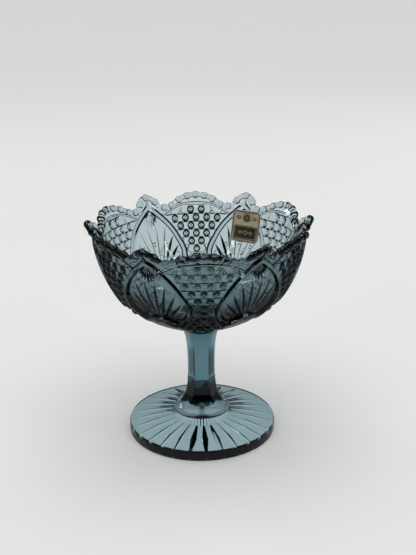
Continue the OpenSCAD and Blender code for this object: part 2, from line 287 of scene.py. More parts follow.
@dataclass(frozen=True)
class PaintedGroundLightAndShade:
    """Painted shade and light on the ground that shows through the glass, in metres.

    Dark patches lie in lobes round the foot, a painted shadow lies just outside the line that the foot rests
    on, and painted light lies under the foot. Each soft edge is given where it starts and where it ends.
    """

    # Painted shade: dark patches in lobes round the foot, which nothing casts
    dark_patches: int = 6
    dark_patch_share: float = 0.8
    dark_patch_sides: tuple[float, float] = (0.6, -0.6)
    dark_patch_near: tuple[float, float] = (0.06, 0.085)
    dark_patch_far: tuple[float, float] = (0.23, 0.13)
    # Painted shadow just outside the line that the foot rests on
    contact_shadow_share: float = 0.6
    contact_shadow_near: tuple[float, float] = (0.0541, 0.0548)
    contact_shadow_far: tuple[float, float] = (0.0585, 0.0556)
    # Painted light: the ground under the foot glows brighter
    under_foot_light: float = 1.1
    under_foot_light_edge: tuple[float, float] = (0.0515, 0.046)

    def group(self) -> bpy.types.ShaderNodeTree:
        """Builds the node group that paints shade and light onto the ground's glow at a place on the table.

        Returns:
            The group: low at the painted dark patches and at the painted shadow just outside the line that
                the foot rests on, high under the foot, where light is painted.
        """
        group = bpy.data.node_groups.new("painted_ground_light_and_shade", "ShaderNodeTree")
        group.interface.new_socket("Vector", in_out="INPUT", socket_type="NodeSocketVector")
        group.interface.new_socket("Share", in_out="OUTPUT", socket_type="NodeSocketFloat")
        start, end = group.nodes.new("NodeGroupInput"), group.nodes.new("NodeGroupOutput")
        sums = Sums(group)
        split = sums.add("SeparateXYZ")
        group.links.new(start.outputs["Vector"], split.inputs[0])
        x, y = split.outputs["X"], split.outputs["Y"]
        reach = sums.value("SQRT", sums.value("ADD", sums.product(x, x), sums.product(y, y)))
        # Painted shade: dark patches in lobes round the foot
        round_foot = sums.product(sums.value("ARCTAN2", x, y), float(self.dark_patches))
        lobes = sums.step(sums.value("COSINE", round_foot), *self.dark_patch_sides)
        dark_patches = sums.product(
            lobes, sums.step(reach, *self.dark_patch_near), sums.step(reach, *self.dark_patch_far), self.dark_patch_share
        )
        # Painted shadow just outside the line that the foot rests on
        contact_shadow = sums.product(
            sums.step(reach, *self.contact_shadow_near), sums.step(reach, *self.contact_shadow_far), self.contact_shadow_share
        )
        # Painted light: the ground under the foot glows brighter than elsewhere
        under = sums.step(reach, *self.under_foot_light_edge, 1.0, self.under_foot_light)
        group.links.new(sums.product(sums.less(dark_patches), sums.less(contact_shadow), under), end.inputs["Share"])
        return group


def fresh_material(name: str) -> tuple:
    """Starts a material with a principled shader.

    Args:
        name: The material's name.

    Returns:
        The material, its nodes, its links, the principled shader and the output node.
    """
    mat = bpy.data.materials.new(name)
    mat.use_nodes = True
    nodes, links = mat.node_tree.nodes, mat.node_tree.links
    return mat, nodes, links, nodes["Principled BSDF"], nodes["Material Output"]


def add_bump(mat: bpy.types.Material, height: bpy.types.NodeSocket, distance: float) -> None:
    """Gives a material a fine relief.

    Args:
        mat: The material.
        height: The relief's height, from 0 to 1.
        distance: What a height of 1 stands for, in metres.
    """
    nodes, links = mat.node_tree.nodes, mat.node_tree.links
    bump = nodes.new("ShaderNodeBump")
    bump.inputs["Distance"].default_value = distance
    links.new(height, bump.inputs["Height"])
    links.new(bump.outputs["Normal"], nodes["Principled BSDF"].inputs["Normal"])


def moulded_skin(detail: float = 1.5, roughest: float = 0.03) -> bpy.types.ShaderNodeTree:
    """The fire-polished skin of pressed glass, shared by both glass materials.

    Args:
        detail: How fine the ripple gets.
        roughest: The roughness where the ripple is highest.

    Returns:
        A node group that puts out a height and a roughness that change slowly over the surface.
    """
    group = bpy.data.node_groups.get("moulded_skin")
    if group:
        return group
    group = bpy.data.node_groups.new("moulded_skin", "ShaderNodeTree")
    make = group.interface.new_socket
    make("Vector", in_out="INPUT", socket_type="NodeSocketVector")
    make("Scale", in_out="INPUT", socket_type="NodeSocketFloat")
    make("Height", in_out="OUTPUT", socket_type="NodeSocketFloat")
    make("Roughness", in_out="OUTPUT", socket_type="NodeSocketFloat")
    start, end = group.nodes.new("NodeGroupInput"), group.nodes.new("NodeGroupOutput")
    ripple = group.nodes.new("ShaderNodeTexNoise")
    ripple.inputs["Detail"].default_value = detail
    group.links.new(start.outputs["Vector"], ripple.inputs["Vector"])
    group.links.new(start.outputs["Scale"], ripple.inputs["Scale"])
    group.links.new(ripple.outputs["Fac"], end.inputs["Height"])
    span = group.nodes.new("ShaderNodeMapRange")
    span.inputs["To Min"].default_value = 0.0
    span.inputs["To Max"].default_value = roughest
    group.links.new(ripple.outputs["Fac"], span.inputs["Value"])
    group.links.new(span.outputs["Result"], end.inputs["Roughness"])
    return group


class Profile:
    """A turned outline seen as a line from its foot upward, found by the distance along it."""

    def __init__(self, points: np.ndarray) -> None:
        """Measures the line.

        Args:
            points: Radius and height of each point, in millimetres.
        """
        self.points = np.asarray(points, float)
        steps = np.linalg.norm(np.diff(self.points, axis=0), axis=1)
        self.runs = np.concatenate([[0], np.cumsum(steps)])
        slope = np.gradient(self.points, self.runs, axis=0)
        slope /= np.linalg.norm(slope, axis=1)[:, None]
        self.outward = np.stack([slope[:, 1], -slope[:, 0]], 1)

    def radius(self, run: np.ndarray) -> np.ndarray:
        """Returns the radius at each run."""
        return np.interp(run, self.runs, self.points[:, 0])

    def height(self, run: np.ndarray) -> np.ndarray:
        """Returns the height at each run."""
        return np.interp(run, self.runs, self.points[:, 1])

    def run_at(self, height: np.ndarray) -> np.ndarray:
        """Returns the run at each height, on the rising part of the line."""
        return np.interp(height, self.points[:, 1], self.runs)

    def placed(self, turn: np.ndarray, run: np.ndarray, lift: np.ndarray) -> np.ndarray:
        """Puts points on the turned surface.

        Args:
            turn: Angle of each point from -Y towards +X, in radians.
            run: Distance of each point along the line.
            lift: Distance of each point off the surface.

        Returns:
            The points in space, in millimetres.
        """
        out_r = np.interp(run, self.runs, self.outward[:, 0])
        out_z = np.interp(run, self.runs, self.outward[:, 1])
        scale = np.hypot(out_r, out_z)
        r = self.radius(run) + lift * out_r / scale
        z = self.height(run) + lift * out_z / scale
        return np.stack([r * np.sin(turn), -r * np.cos(turn), z], 1)


def bezier(shares: list, reach: float, rise: float, level: float, steps: int) -> np.ndarray:
    """Points of a four-point curve.

    Args:
        shares: The four points, as shares of the reach and the rise.
        reach: The curve's full reach.
        rise: Its full rise.
        level: The height that it starts from.
        steps: How many steps it has.

    Returns:
        The points, as radius and height.
    """
    t = np.linspace(0, 1, steps + 1)[:, None]
    p = np.array(shares, float)
    curve = (1 - t) ** 3 * p[0] + 3 * (1 - t) ** 2 * t * p[1] + 3 * (1 - t) * t**2 * p[2] + t**3 * p[3]
    return curve * [reach, rise] + [0, level]


@dataclass
class Stroke:
    """One moulded line on a flat chart of the wall: a ridge, or a groove where its height is below zero."""

    points: np.ndarray
    half_widths: np.ndarray
    height: float
    relief: Relief = Relief.VEE

    def __post_init__(self) -> None:
        """Turns plain lists into arrays."""
        self.points = np.asarray(self.points, float)
        self.half_widths = np.broadcast_to(np.asarray(self.half_widths, float), len(self.points)).copy()

    def rails(self, shares: tuple[float, ...]) -> list[np.ndarray]:
        """Lines that run beside the stroke.

        Args:
            shares: Where each line lies, from -1 at one edge to 1 at the other.

        Returns:
            One array of points for each share.
        """
        along = np.gradient(self.points, axis=0)
        along /= np.linalg.norm(along, axis=1)[:, None] + 1e-9
        across = np.stack([-along[:, 1], along[:, 0]], 1) * self.half_widths[:, None]
        return [self.points + across * s for s in shares]

    def lift(self, spots: np.ndarray) -> np.ndarray:
        """How far the stroke lifts or sinks the wall.

        Args:
            spots: Places on the same chart.

        Returns:
            The height at each place, in millimetres.
        """
        a, b = self.points[:-1], self.points[1:]
        span = b - a
        best = np.full(len(spots), np.inf)
        for i in range(len(a)):
            near = np.clip(((spots - a[i]) @ span[i]) / (span[i] @ span[i] + TINY), 0, 1)
            gap = np.linalg.norm(spots - a[i] - near[:, None] * span[i], axis=1)
            width = self.half_widths[i] * (1 - near) + self.half_widths[i + 1] * near
            best = np.minimum(best, gap / np.maximum(width, LEAST_RELIEF))
        inside = np.clip(1 - best, 0, 1)
        if self.relief is Relief.ROUND:
            inside = np.sqrt(np.clip(1 - best**2, 0, 1))
        elif self.relief is Relief.BAND:
            inside = np.clip((1 - best) / (1 - BAND_SHOULDER), 0, 1)
        depth = self.height * inside
        if self.height < 0:
            depth *= np.clip(self.nearest_width(spots) / self.half_widths.max(), 0, 1)
        return depth

    def nearest_width(self, spots: np.ndarray) -> np.ndarray:
        """Returns the stroke's half width beside each place."""
        gaps = np.linalg.norm(spots[:, None] - self.points[None], axis=2)
        return self.half_widths[gaps.argmin(1)]


def leaf(start: tuple, end: tuple, half_width: float, depth: float, count: int = 9) -> Stroke:
    """A tapered groove that is widest in its middle, like a cut made by a wheel.

    Args:
        start: One end on the chart.
        end: The other end.
        half_width: Half of the greatest width.
        depth: Depth in the middle.
        count: Number of points along it.

    Returns:
        The groove.
    """
    t = np.linspace(0, 1, count)
    points = np.outer(1 - t, start) + np.outer(t, end)
    widths = half_width * (LEAF_END + (1 - LEAF_END) * np.sin(np.pi * t) ** LEAF_FULLNESS)
    return Stroke(points, widths, -depth)


def way_at(turn: float) -> np.ndarray:
    """Returns the direction across and up a chart at an angle from straight up."""
    return np.array([math.sin(turn), math.cos(turn)])


@dataclass
class Pattern:
    """The moulded relief of half a repeat, from a button panel's middle to a medallion's middle."""

    wall: Profile
    top_run: float = 94.94
    chart_scale: float = 60.0
    button_angle: float = math.radians(6.7)
    button_pitch: float = 6.15
    button_top_drop: float = 2.4
    button_counts: tuple[int, ...] = (1, 1, 1, 1, 2, 3, 4, 5, 2)
    button_radii: tuple[float, ...] = (0.9, 1.65, 2.25, 2.85)
    button_height: float = 1.4
    button_crown: float = 0.18
    lattice_width: float = 0.5
    lattice_depth: float = 0.45
    lattice_low: float = 22.0
    lattice_rows_below: int = 4
    lattice_slants: int = 7
    lattice_reach: float = 3.2
    lattice_gap: float = 0.4
    panel_half_width: float = 30.0
    panel_tip_half: float = 4.2
    panel_tip_taper: float = 0.25
    panel_low_room: float = 9.0
    arch_drop: float = 3.5
    arch_rise: float = 6.4
    arch_half: float = math.radians(18.6)
    arch_run_on: float = 1.12
    arch_gap: float = 1.2
    arch_size: tuple[float, float] = (0.85, 0.95)
    medallion_height: float = 58.4
    medallion_width: float = 51.4
    medallion_reach: float = 4.5
    border_height: float = 2.1
    border_half_widths: tuple[float, float] = (1.2, 2.7)
    border_points: int = 54
    border_gap: float = 1.3
    fan_turn: float = math.radians(11)
    fan_lines: int = 7
    fan_start: float = 11.5
    fan_nearest: float = 14.0
    fan_shortest: float = 17.0
    fan_reach: float = 40.0
    fan_size: tuple[float, float] = (1.15, 1.5)
    rung_rings: tuple[float, float] = (26.0, 18.5)
    rung_pair: float = 2.2
    rung_end_gap: float = 2.0
    rung_half_length: float = 1.5
    rung_size: tuple[float, float] = (0.5, 0.5)
    darts: int = 4
    dart_turn: float = math.radians(13)
    dart_start: float = 2.5
    dart_reach: float = 13.5
    dart_fade: float = 1.5
    dart_size: tuple[float, float] = (0.95, 1.35)
    flutes: int = 7
    flute_first: float = 1.0
    flute_pitch: float = 1.55
    flute_level: float = 0.125
    flute_sag: float = 0.055
    flute_gap: float = 0.5
    flute_length: float = 6.5
    flute_fade: float = 0.2
    flute_lean: float = 0.62
    flute_size: tuple[float, float] = (0.62, 0.65)
    outer_shares: tuple = (
        (0, 1), (0.15, 0.949), (0.248, 0.91), (0.37, 0.865), (0.484, 0.815), (0.601, 0.759), (0.7, 0.701),
        (0.79, 0.635), (0.86, 0.567), (0.92, 0.496), (0.978, 0.427), (1, 0.337), (0.956, 0.242),
        (0.803, 0.129), (0.614, 0.038), (0.473, 0), (0.388, 0.01), (0.292, 0.052), (0.189, 0.1),
        (0.096, 0.129), (0, 0.137),
    )
    inner_shares: tuple = (
        (0, 0.91), (0.132, 0.86), (0.263, 0.808), (0.386, 0.752), (0.495, 0.697), (0.588, 0.636),
        (0.665, 0.573), (0.73, 0.504), (0.794, 0.428), (0.823, 0.359), (0.803, 0.288), (0.729, 0.221),
        (0.647, 0.165), (0.524, 0.106), (0.472, 0.09), (0.41, 0.1), (0.3, 0.13), (0.2, 0.155), (0.1, 0.17),
        (0, 0.175),
    )
    panel_lines: list[Stroke] = field(default_factory=list)
    medallion_lines: list[Stroke] = field(default_factory=list)
    buttons: list[tuple[float, float]] = field(default_factory=list)

    def __post_init__(self) -> None:
        """Lays out every line and button."""
        self.low_run = self.top_run + self.medallion_reach - self.medallion_height
        self.outer_edge = self.scaled(self.outer_shares)
        self.inner_edge = self.scaled(self.inner_shares)
        self.lay_medallion()
        self.lay_panel()

    def scaled(self, shares: tuple) -> np.ndarray:
        """Returns a medallion outline in millimetres across and along the wall."""
        return np.array(shares) * (self.medallion_width / 2, self.medallion_height) + (0, self.low_run)

    def lay_medallion(self) -> None:
        """Lays out the border, the fan, its rungs, the darts and the flutes under the arc."""
        outer, inner = (evened(edge, self.border_points) for edge in (self.outer_edge, self.inner_edge))
        half = np.clip(np.linalg.norm(outer - inner, axis=1) / 2, *self.border_half_widths)
        self.medallion_lines.append(Stroke((outer + inner) / 2, half, self.border_height, Relief.BAND))
        self.lay_fan(np.array([0.0, self.low_run]))
        tip = np.array([0.0, self.inner_edge[0, 1]])
        for i in range(self.darts):
            way = way_at(math.pi - i * self.dart_turn)
            far = self.dart_reach - self.dart_fade * i
            dart = leaf(tip + self.dart_start * way, tip + far * way, *self.dart_size, 7)
            self.medallion_lines.append(dart)
        level = self.low_run + self.medallion_height * self.flute_level
        for i in range(self.flutes):
            x = self.flute_first + i * self.flute_pitch
            top = level - self.flute_sag * x**2 - self.flute_gap
            low = top - self.flute_length + self.flute_fade * x
            self.medallion_lines.append(leaf((x, top), (x * self.flute_lean, low), *self.flute_size, 5))

    def lay_fan(self, root: np.ndarray) -> None:
        """Lays out the fan's lines and the pairs of short rungs between them.

        Args:
            root: Where all the lines point to.
        """
        for i in range(-1, self.fan_lines):
            way = way_at((i + 0.5) * self.fan_turn)
            reach = self.reach_inside(root, way)
            if reach > self.fan_shortest:
                line = leaf(root + self.fan_start * way, root + reach * way, *self.fan_size)
                self.medallion_lines.append(line)
        for i in range(self.fan_lines - 1):
            way = way_at(i * self.fan_turn)
            side = self.rung_half_length * np.array([way[1], -way[0]])
            for far in (self.rung_rings[i % 2], self.rung_rings[i % 2] + self.rung_pair):
                middle = root + far * way
                if self.reach_inside(root, way) > far + self.rung_end_gap:
                    self.medallion_lines.append(leaf(middle - side, middle + side, *self.rung_size, 5))

    def reach_inside(self, root: np.ndarray, way: np.ndarray) -> float:
        """How far a fan line can run before it meets the border.

        Args:
            root: Where the line's direction starts.
            way: Its direction.

        Returns:
            The distance from the root.
        """
        edge, widest = evened(self.inner_edge, 80), self.inner_edge[:, 0].max()
        for far in np.arange(self.fan_nearest, self.fan_reach, 0.5):
            spot = root + far * way
            near = np.linalg.norm(edge - spot, axis=1).min()
            if near < self.border_gap or spot[0] > widest:
                return far
        return self.fan_reach

    def lay_panel(self) -> None:
        """Lays out the arched line, the buttons and the lattice between them."""
        turn = np.linspace(0, self.arch_run_on, 22) * self.arch_half
        run = self.arch_run(turn)
        arch = np.stack([turn * self.wall.radius(run), run], 1)
        self.panel_lines.append(Stroke(arch, *self.arch_size, Relief.ROUND))
        low = self.top_run - self.button_top_drop - (len(self.button_counts) - 1) * self.button_pitch
        for row, count in enumerate(self.button_counts):
            for i in range(count):
                turn = (i - (count - 1) / 2) * self.button_angle
                if turn > -1e-6:
                    self.buttons.append((turn, low + row * self.button_pitch))
        rows = len(self.button_counts)
        for k in range(-self.lattice_rows_below, rows + 1):
            run = low + (k + 0.5) * self.button_pitch
            self.lattice([(across, run) for across in np.linspace(0, self.lattice_reach, 17)])
        rise = np.linspace(-self.lattice_rows_below, rows, 53)
        for k in range(-self.lattice_slants, self.lattice_slants + 1):
            for sign in (-1, 1):
                self.lattice([(k + 0.5 + sign * q / 2, low + q * self.button_pitch) for q in rise])

    def arch_run(self, turn: np.ndarray) -> np.ndarray:
        """Returns the run of the panel's arched line at an angle."""
        return self.top_run - self.arch_drop + self.arch_rise * (1 - (turn / self.arch_half) ** 2)

    def lattice(self, line: list) -> None:
        """Adds the stretches of one lattice line that lie inside the panel.

        Args:
            line: Its points, as a count of button angles and a run.
        """
        stretch: list = []
        end_mark = (0.0, 0.0)
        for across, run in [*line, end_mark]:
            turn = across * self.button_angle
            if -1e-6 <= turn and run > self.lattice_low and self.panel_room(turn, run) > self.lattice_gap:
                stretch.append((turn * float(self.wall.radius(run)), run))
            elif stretch:
                if len(stretch) > 1:
                    self.panel_lines.append(Stroke(stretch, self.lattice_width, -self.lattice_depth))
                stretch = []

    def panel_room(self, turn: float, run: float) -> float:
        """Distance from a place to the nearest side of its button panel.

        Args:
            turn: The place's angle from the panel's middle.
            run: Its distance along the wall.

        Returns:
            The distance, below zero outside the panel.
        """
        r = float(self.wall.radius(run))
        if turn * r > self.panel_half_width:
            return -1.0
        spot = np.array([(HALF - turn) * r, run])
        line = evened(self.outer_edge, 90)
        gaps = np.linalg.norm(line - spot, axis=1)
        under = run < self.low_run + 1
        beside = under or spot[0] > line[gaps.argmin(), 0]
        low = self.panel_tip_half - turn * r * self.panel_tip_taper if under else self.panel_low_room
        return float(min(self.arch_run(turn) - self.arch_gap - run, gaps.min() if beside else -1.0, low))

    def charts(self, turn: np.ndarray, run: np.ndarray) -> tuple[np.ndarray, np.ndarray]:
        """Places as seen square on from the panel's middle and from the medallion's middle."""
        r = self.wall.radius(run)
        return np.stack([turn * r, run], 1), np.stack([(HALF - turn) * r, run], 1)

    def lift(self, turn: np.ndarray, run: np.ndarray) -> np.ndarray:
        """The relief's height.

        Args:
            turn: Angles from the panel's middle.
            run: Distances along the wall.

        Returns:
            The height at each place, in millimetres.
        """
        panel, medallion = self.charts(turn, run)
        total, ridges, domes = (np.zeros(len(turn)) for _ in range(3))
        for spots, strokes in ((panel, self.panel_lines), (medallion, self.medallion_lines)):
            for stroke in strokes:
                depth = stroke.lift(spots)
                if stroke.height < 0:
                    total = np.minimum(total, depth)
                else:
                    ridges = np.maximum(ridges, depth)
        flat, foot = self.button_radii[1], self.button_radii[3]
        for at, level in self.buttons:
            gap = np.hypot((turn - at) * self.wall.radius(run), run - level)
            side = np.clip((foot - gap) / (foot - flat), 0, 1) * self.button_height
            crown = self.button_crown * np.clip(1 - (gap / flat) ** 2, 0, 1)
            domes = np.maximum(domes, side + crown)
        return np.where(ridges > LEAST_RELIEF, ridges, total) + domes

    def guides(self) -> list[np.ndarray]:
        """Every line that the mesh has to follow.

        Returns:
            Open lines of points, as angle and run.
        """
        lines = []
        for stroke in self.panel_lines + self.medallion_lines:
            shares = (-1, 0, 1)
            if stroke.relief is Relief.BAND:
                shares = (-1, -BAND_SHOULDER, 0, BAND_SHOULDER, 1)
            if stroke.relief is Relief.ROUND and stroke.half_widths.max() < 1:
                shares = (-1, -0.5, 0, 0.5, 1)
            from_medallion = any(stroke is s for s in self.medallion_lines)
            for rail in stroke.rails(shares):
                turn = rail[:, 0] / self.wall.radius(rail[:, 1])
                lines.append(np.stack([HALF - turn if from_medallion else turn, rail[:, 1]], 1))
        for at, level in self.buttons:
            r = float(self.wall.radius(level))
            for radius in self.button_radii:
                around = np.linspace(0, 2 * math.pi, 15)
                lines.append(np.stack([at + radius * np.sin(around) / r, level + radius * np.cos(around)], 1))
        return lines


def evened(line: np.ndarray, count: int) -> np.ndarray:
    """A line with its points spread evenly.

    Args:
        line: The points.
        count: How many points the new line has.

    Returns:
        The new points.
    """
    line = np.asarray(line, float)
    runs = np.concatenate([[0], np.cumsum(np.linalg.norm(np.diff(line, axis=0), axis=1))])
    at = np.linspace(0, runs[-1], count)
    return np.stack([np.interp(at, runs, line[:, i]) for i in range(line.shape[1])], 1)


class NodeTree:
    """A small maker of geometry node trees, with named inputs."""

    def __init__(self, name: str, inputs: dict[str, str]) -> None:
        """Starts the tree.

        Args:
            name: The tree's name.
            inputs: The type of each named input beside the geometry.
        """
        self.tree = bpy.data.node_groups.new(name, "GeometryNodeTree")
        make = self.tree.interface.new_socket
        make("Geometry", in_out="INPUT", socket_type="NodeSocketGeometry")
        for label, kind in inputs.items():
            make(label, in_out="INPUT", socket_type=f"NodeSocket{kind}")
        make("Geometry", in_out="OUTPUT", socket_type="NodeSocketGeometry")
        self.start = self.add("NodeGroupInput")
        self.end = self.add("NodeGroupOutput")

    def add(self, kind: str, settings: dict | None = None, **links: object) -> bpy.types.Node:
        """Adds a node.

        Args:
            kind: The node's type.
            settings: Plain properties of the node.
            links: What goes into each input, by its name with underscores for spaces: a socket or a value.

        Returns:
            The node.
        """
        node = self.tree.nodes.new(kind)
        for key, value in (settings or {}).items():
            setattr(node, key, value)
        for key, value in links.items():
            self.feed(node.inputs[key.replace("_", " ")], value)
        return node

    def feed(self, socket: bpy.types.NodeSocket, value: object) -> None:
        """Links an output to an input, or sets the input's own value.

        Args:
            socket: The input.
            value: A socket to link from, or the value.
        """
        if isinstance(value, bpy.types.NodeSocket):
            self.tree.links.new(value, socket)
        else:
            socket.default_value = value

    def taken(self, name: str) -> bpy.types.NodeSocket:
        """Returns the named input as a socket to link from."""
        return self.start.outputs[name]

    def maths(self, operation: str, first: object, second: object = 0.0) -> bpy.types.NodeSocket:
        """Adds a sum on two sockets or numbers.

        Args:
            operation: What is done.
            first: The first socket or number.
            second: The second one.

        Returns:
            The result.
        """
        node = self.add("ShaderNodeMath", {"operation": operation})
        self.feed(node.inputs[0], first)
        self.feed(node.inputs[1], second)
        return node.outputs[0]

    def ring(self, count: object, offset: object, shape: bpy.types.NodeSocket) -> bpy.types.NodeSocket:
        """Repeats a shape round the Z axis.

        Args:
            count: How many copies.
            offset: Turn of the first copy, in radians.
            shape: The geometry that is copied.

        Returns:
            The real copies.
        """
        spots = self.add("GeometryNodePoints", Count=count)
        step = self.maths("DIVIDE", 2 * math.pi, count)
        turn = self.maths("MULTIPLY", self.add("GeometryNodeInputIndex").outputs[0], step)
        turned = self.add("ShaderNodeCombineXYZ", Z=self.maths("ADD", turn, offset))
        copies = self.add("GeometryNodeInstanceOnPoints", Points=spots.outputs[0], Instance=shape)
        self.feed(copies.inputs["Rotation"], turned.outputs[0])
        return self.add("GeometryNodeRealizeInstances", Geometry=copies.outputs[0]).outputs[0]

    def joined(self, operation: str, base: bpy.types.NodeSocket, tools: list) -> bpy.types.NodeSocket:
        """Fuses solids, or cuts tools from the base.

        Args:
            operation: UNION or DIFFERENCE.
            base: The first solid.
            tools: The other solids.

        Returns:
            The new solid.
        """
        node = self.add("GeometryNodeMeshBoolean", {"operation": operation, "solver": "MANIFOLD"})
        if operation == "UNION":
            tools = [base, *tools]
        else:
            self.feed(node.inputs["Mesh 1"], base)
        for tool in tools:
            self.tree.links.new(tool, node.inputs["Mesh 2"])
        return node.outputs["Mesh"]

    def close(self, shape: bpy.types.NodeSocket, crease: object) -> None:
        """Ends the tree: smooth shading but at creases, real geometry and the finish.

        Args:
            shape: The finished geometry.
            crease: The angle past which an edge stays sharp.
        """
        angle = self.add("GeometryNodeInputMeshEdgeAngle").outputs["Unsigned Angle"]
        sharp = self.add("FunctionNodeCompare", {"operation": "GREATER_THAN"}, A=angle, B=crease)
        smooth = self.add("GeometryNodeSetShadeSmooth", Geometry=shape)
        edged = self.add("GeometryNodeSetShadeSmooth", {"domain": "EDGE"}, Geometry=smooth.outputs[0])
        self.feed(edged.inputs["Selection"], sharp.outputs[0])
        edged.inputs["Shade Smooth"].default_value = False
        real = self.add("GeometryNodeRealizeInstances", Geometry=edged.outputs[0])
        dress = self.add("GeometryNodeSetMaterial", Geometry=real.outputs[0], Material=self.taken("Finish"))
        self.feed(self.end.inputs[0], dress.outputs[0])


def grown(obj: bpy.types.Object, tree: NodeTree, values: dict[str, object]) -> None:
    """Runs a node tree on an object and keeps the result as its plain mesh.

    Args:
        obj: The object, whose mesh goes into the tree.
        tree: The tree.
        values: The value of each named input.
    """
    modifier = obj.modifiers.new(tree.tree.name, "NODES")
    modifier.node_group = tree.tree
    for item in tree.tree.interface.items_tree:
        if item.name in values and item.in_out == "INPUT":
            modifier[item.identifier] = values[item.name]
    graph = bpy.context.evaluated_depsgraph_get()
    mesh = bpy.data.meshes.new_from_object(obj.evaluated_get(graph))
    obj.modifiers.remove(modifier)
    obj.data = mesh


def mesh_object(name: str, verts: np.ndarray, faces: list, edges: list = ()) -> bpy.types.Object:
    """Makes a mesh object from millimetres.

    Args:
        name: The object's name.
        verts: Its corners, in millimetres.
        faces: Its faces, as corner numbers.
        edges: Its loose edges, as corner numbers.

    Returns:
        The object, in the scene.
    """
    mesh = bpy.data.meshes.new(name)
    mesh.from_pydata((np.asarray(verts) * MM).tolist(), list(edges), [list(map(int, f)) for f in faces])
    obj = bpy.data.objects.new(name, mesh)
    bpy.context.collection.objects.link(obj)
    return obj


def kept_inside(
    lines: list[np.ndarray], low: float, high: float, top: Callable[[float], float]
) -> list[np.ndarray]:
    """Cuts lines off at the sides of a repeat.

    Args:
        lines: Lines of angle and run.
        low: The smallest angle.
        high: The largest angle.
        top: Function that gives the highest run at an angle.

    Returns:
        The stretches inside.
    """
    kept = []
    for line in lines:
        stretch: list = []
        for a, b in zip(line[:-1], line[1:]):
            span = b[0] - a[0]
            cuts = [(edge - a[0]) / span for edge in (low, high)] if abs(span) > TINY else []
            marks = [0.0, *sorted(cut for cut in cuts if 0 < cut < 1), 1.0]
            for s, e in zip(marks[:-1], marks[1:]):
                mid = a + (b - a) * (s + e) / 2
                if low <= mid[0] <= high and CHART_LOW_GAP < mid[1] < top(mid[0]) - CHART_TOP_GAP:
                    p, q = a + (b - a) * s, a + (b - a) * e
                    if not stretch:
                        stretch = [p]
                    stretch.append(q)
                elif stretch:
                    kept.append(np.array(stretch))
                    stretch = []
        if stretch:
            kept.append(np.array(stretch))
    for line in kept:
        line[:, 0] = np.clip(line[:, 0], low, high)
    return kept


def triangulated(border: np.ndarray, guides: list[np.ndarray], spacing: float, scale: float) -> tuple:
    """Fills an outline on the chart with triangles that follow the guide lines.

    Args:
        border: The outline, as angle and run, anticlockwise.
        guides: Lines that the triangles' edges must follow.
        spacing: Distance between the filling points, in millimetres.
        scale: Millimetres to a radian on the chart.

    Returns:
        The points as angle and run, and the triangles.
    """
    squash = np.array([scale, 1.0])
    coords = [np.asarray(border)]
    edges: list = []
    count = len(border)
    for line in guides:
        edges += [(count + i, count + i + 1) for i in range(len(line) - 1)]
        coords.append(line)
        count += len(line)
    taken = np.concatenate(coords) * squash
    low, high = taken.min(0), taken.max(0)
    cloud = np.concatenate([taken, filling(taken, len(border), spacing)])
    outline = [list(range(len(border)))]
    verts, _, faces, *_ = delaunay_2d_cdt([Vector(p) for p in cloud], edges, outline, 1, 0.02, False)
    spots = np.array([v[:] for v in verts])
    for side in (low[0], high[0]):
        spots[np.abs(spots[:, 0] - side) < CHART_SNAP, 0] = side
    spots /= squash
    corners = spots[np.array([list(f) for f in faces])]
    middles = corners.mean(1)
    under = middles[:, 1] < np.interp(middles[:, 0], *top_of(np.asarray(border)))
    wide = np.ptp(corners[:, :, 0], axis=1) > 1e-6
    return spots, [f for f, keep in zip(faces, under & wide) if keep]


def filling(taken: np.ndarray, border_count: int, spacing: float) -> np.ndarray:
    """Loose points in staggered rows, clear of the points that an outline and its guide lines already have.

    Args:
        taken: The points that are there, those of the outline first.
        border_count: How many of them are the outline's.
        spacing: Distance between the new points.

    Returns:
        The new points.
    """
    low, high = taken.min(0), taken.max(0)
    tops = top_of(taken[:border_count])
    row_pitch, clearance = spacing * 0.87, spacing * 0.42
    left, foot, right = low[0] + spacing * 0.55, low[1] + spacing * 0.6, high[0] - spacing * 0.4
    fill = []
    for row, y in enumerate(np.arange(foot, high[1], row_pitch)):
        for x in np.arange(left + spacing / 2 * (row % 2), right, spacing):
            clear = np.abs(taken - (x, y)).max(1).min() > clearance
            if clear and y < np.interp(x, *tops) - 1:
                fill.append((x, y))
    return np.array(fill).reshape(-1, 2)


def top_of(border: np.ndarray) -> tuple[np.ndarray, np.ndarray]:
    """Finds the upper side of an outline.

    Args:
        border: The outline's points.

    Returns:
        Two lists to look heights up in: places across, and the height at each.
    """
    best: dict = {}
    for x, y in border:
        key = round(float(x), 4)
        best[key] = max(best.get(key, float(y)), float(y))
    keys = sorted(best)
    return np.array(keys), np.array([best[k] for k in keys])


@dataclass
class Skin:
    """A mesh that grows by patches."""

    verts: list[np.ndarray] = field(default_factory=list)
    faces: list[list[int]] = field(default_factory=list)

    def add(self, points: np.ndarray, faces: list, flip: bool = False) -> None:
        """Adds a patch.

        Args:
            points: Its corners.
            faces: Its faces, as numbers of its own corners.
            flip: Whether its faces are turned over.
        """
        first = sum(len(v) for v in self.verts)
        self.verts.append(points)
        self.faces += [[first + i for i in (reversed(f) if flip else f)] for f in faces]


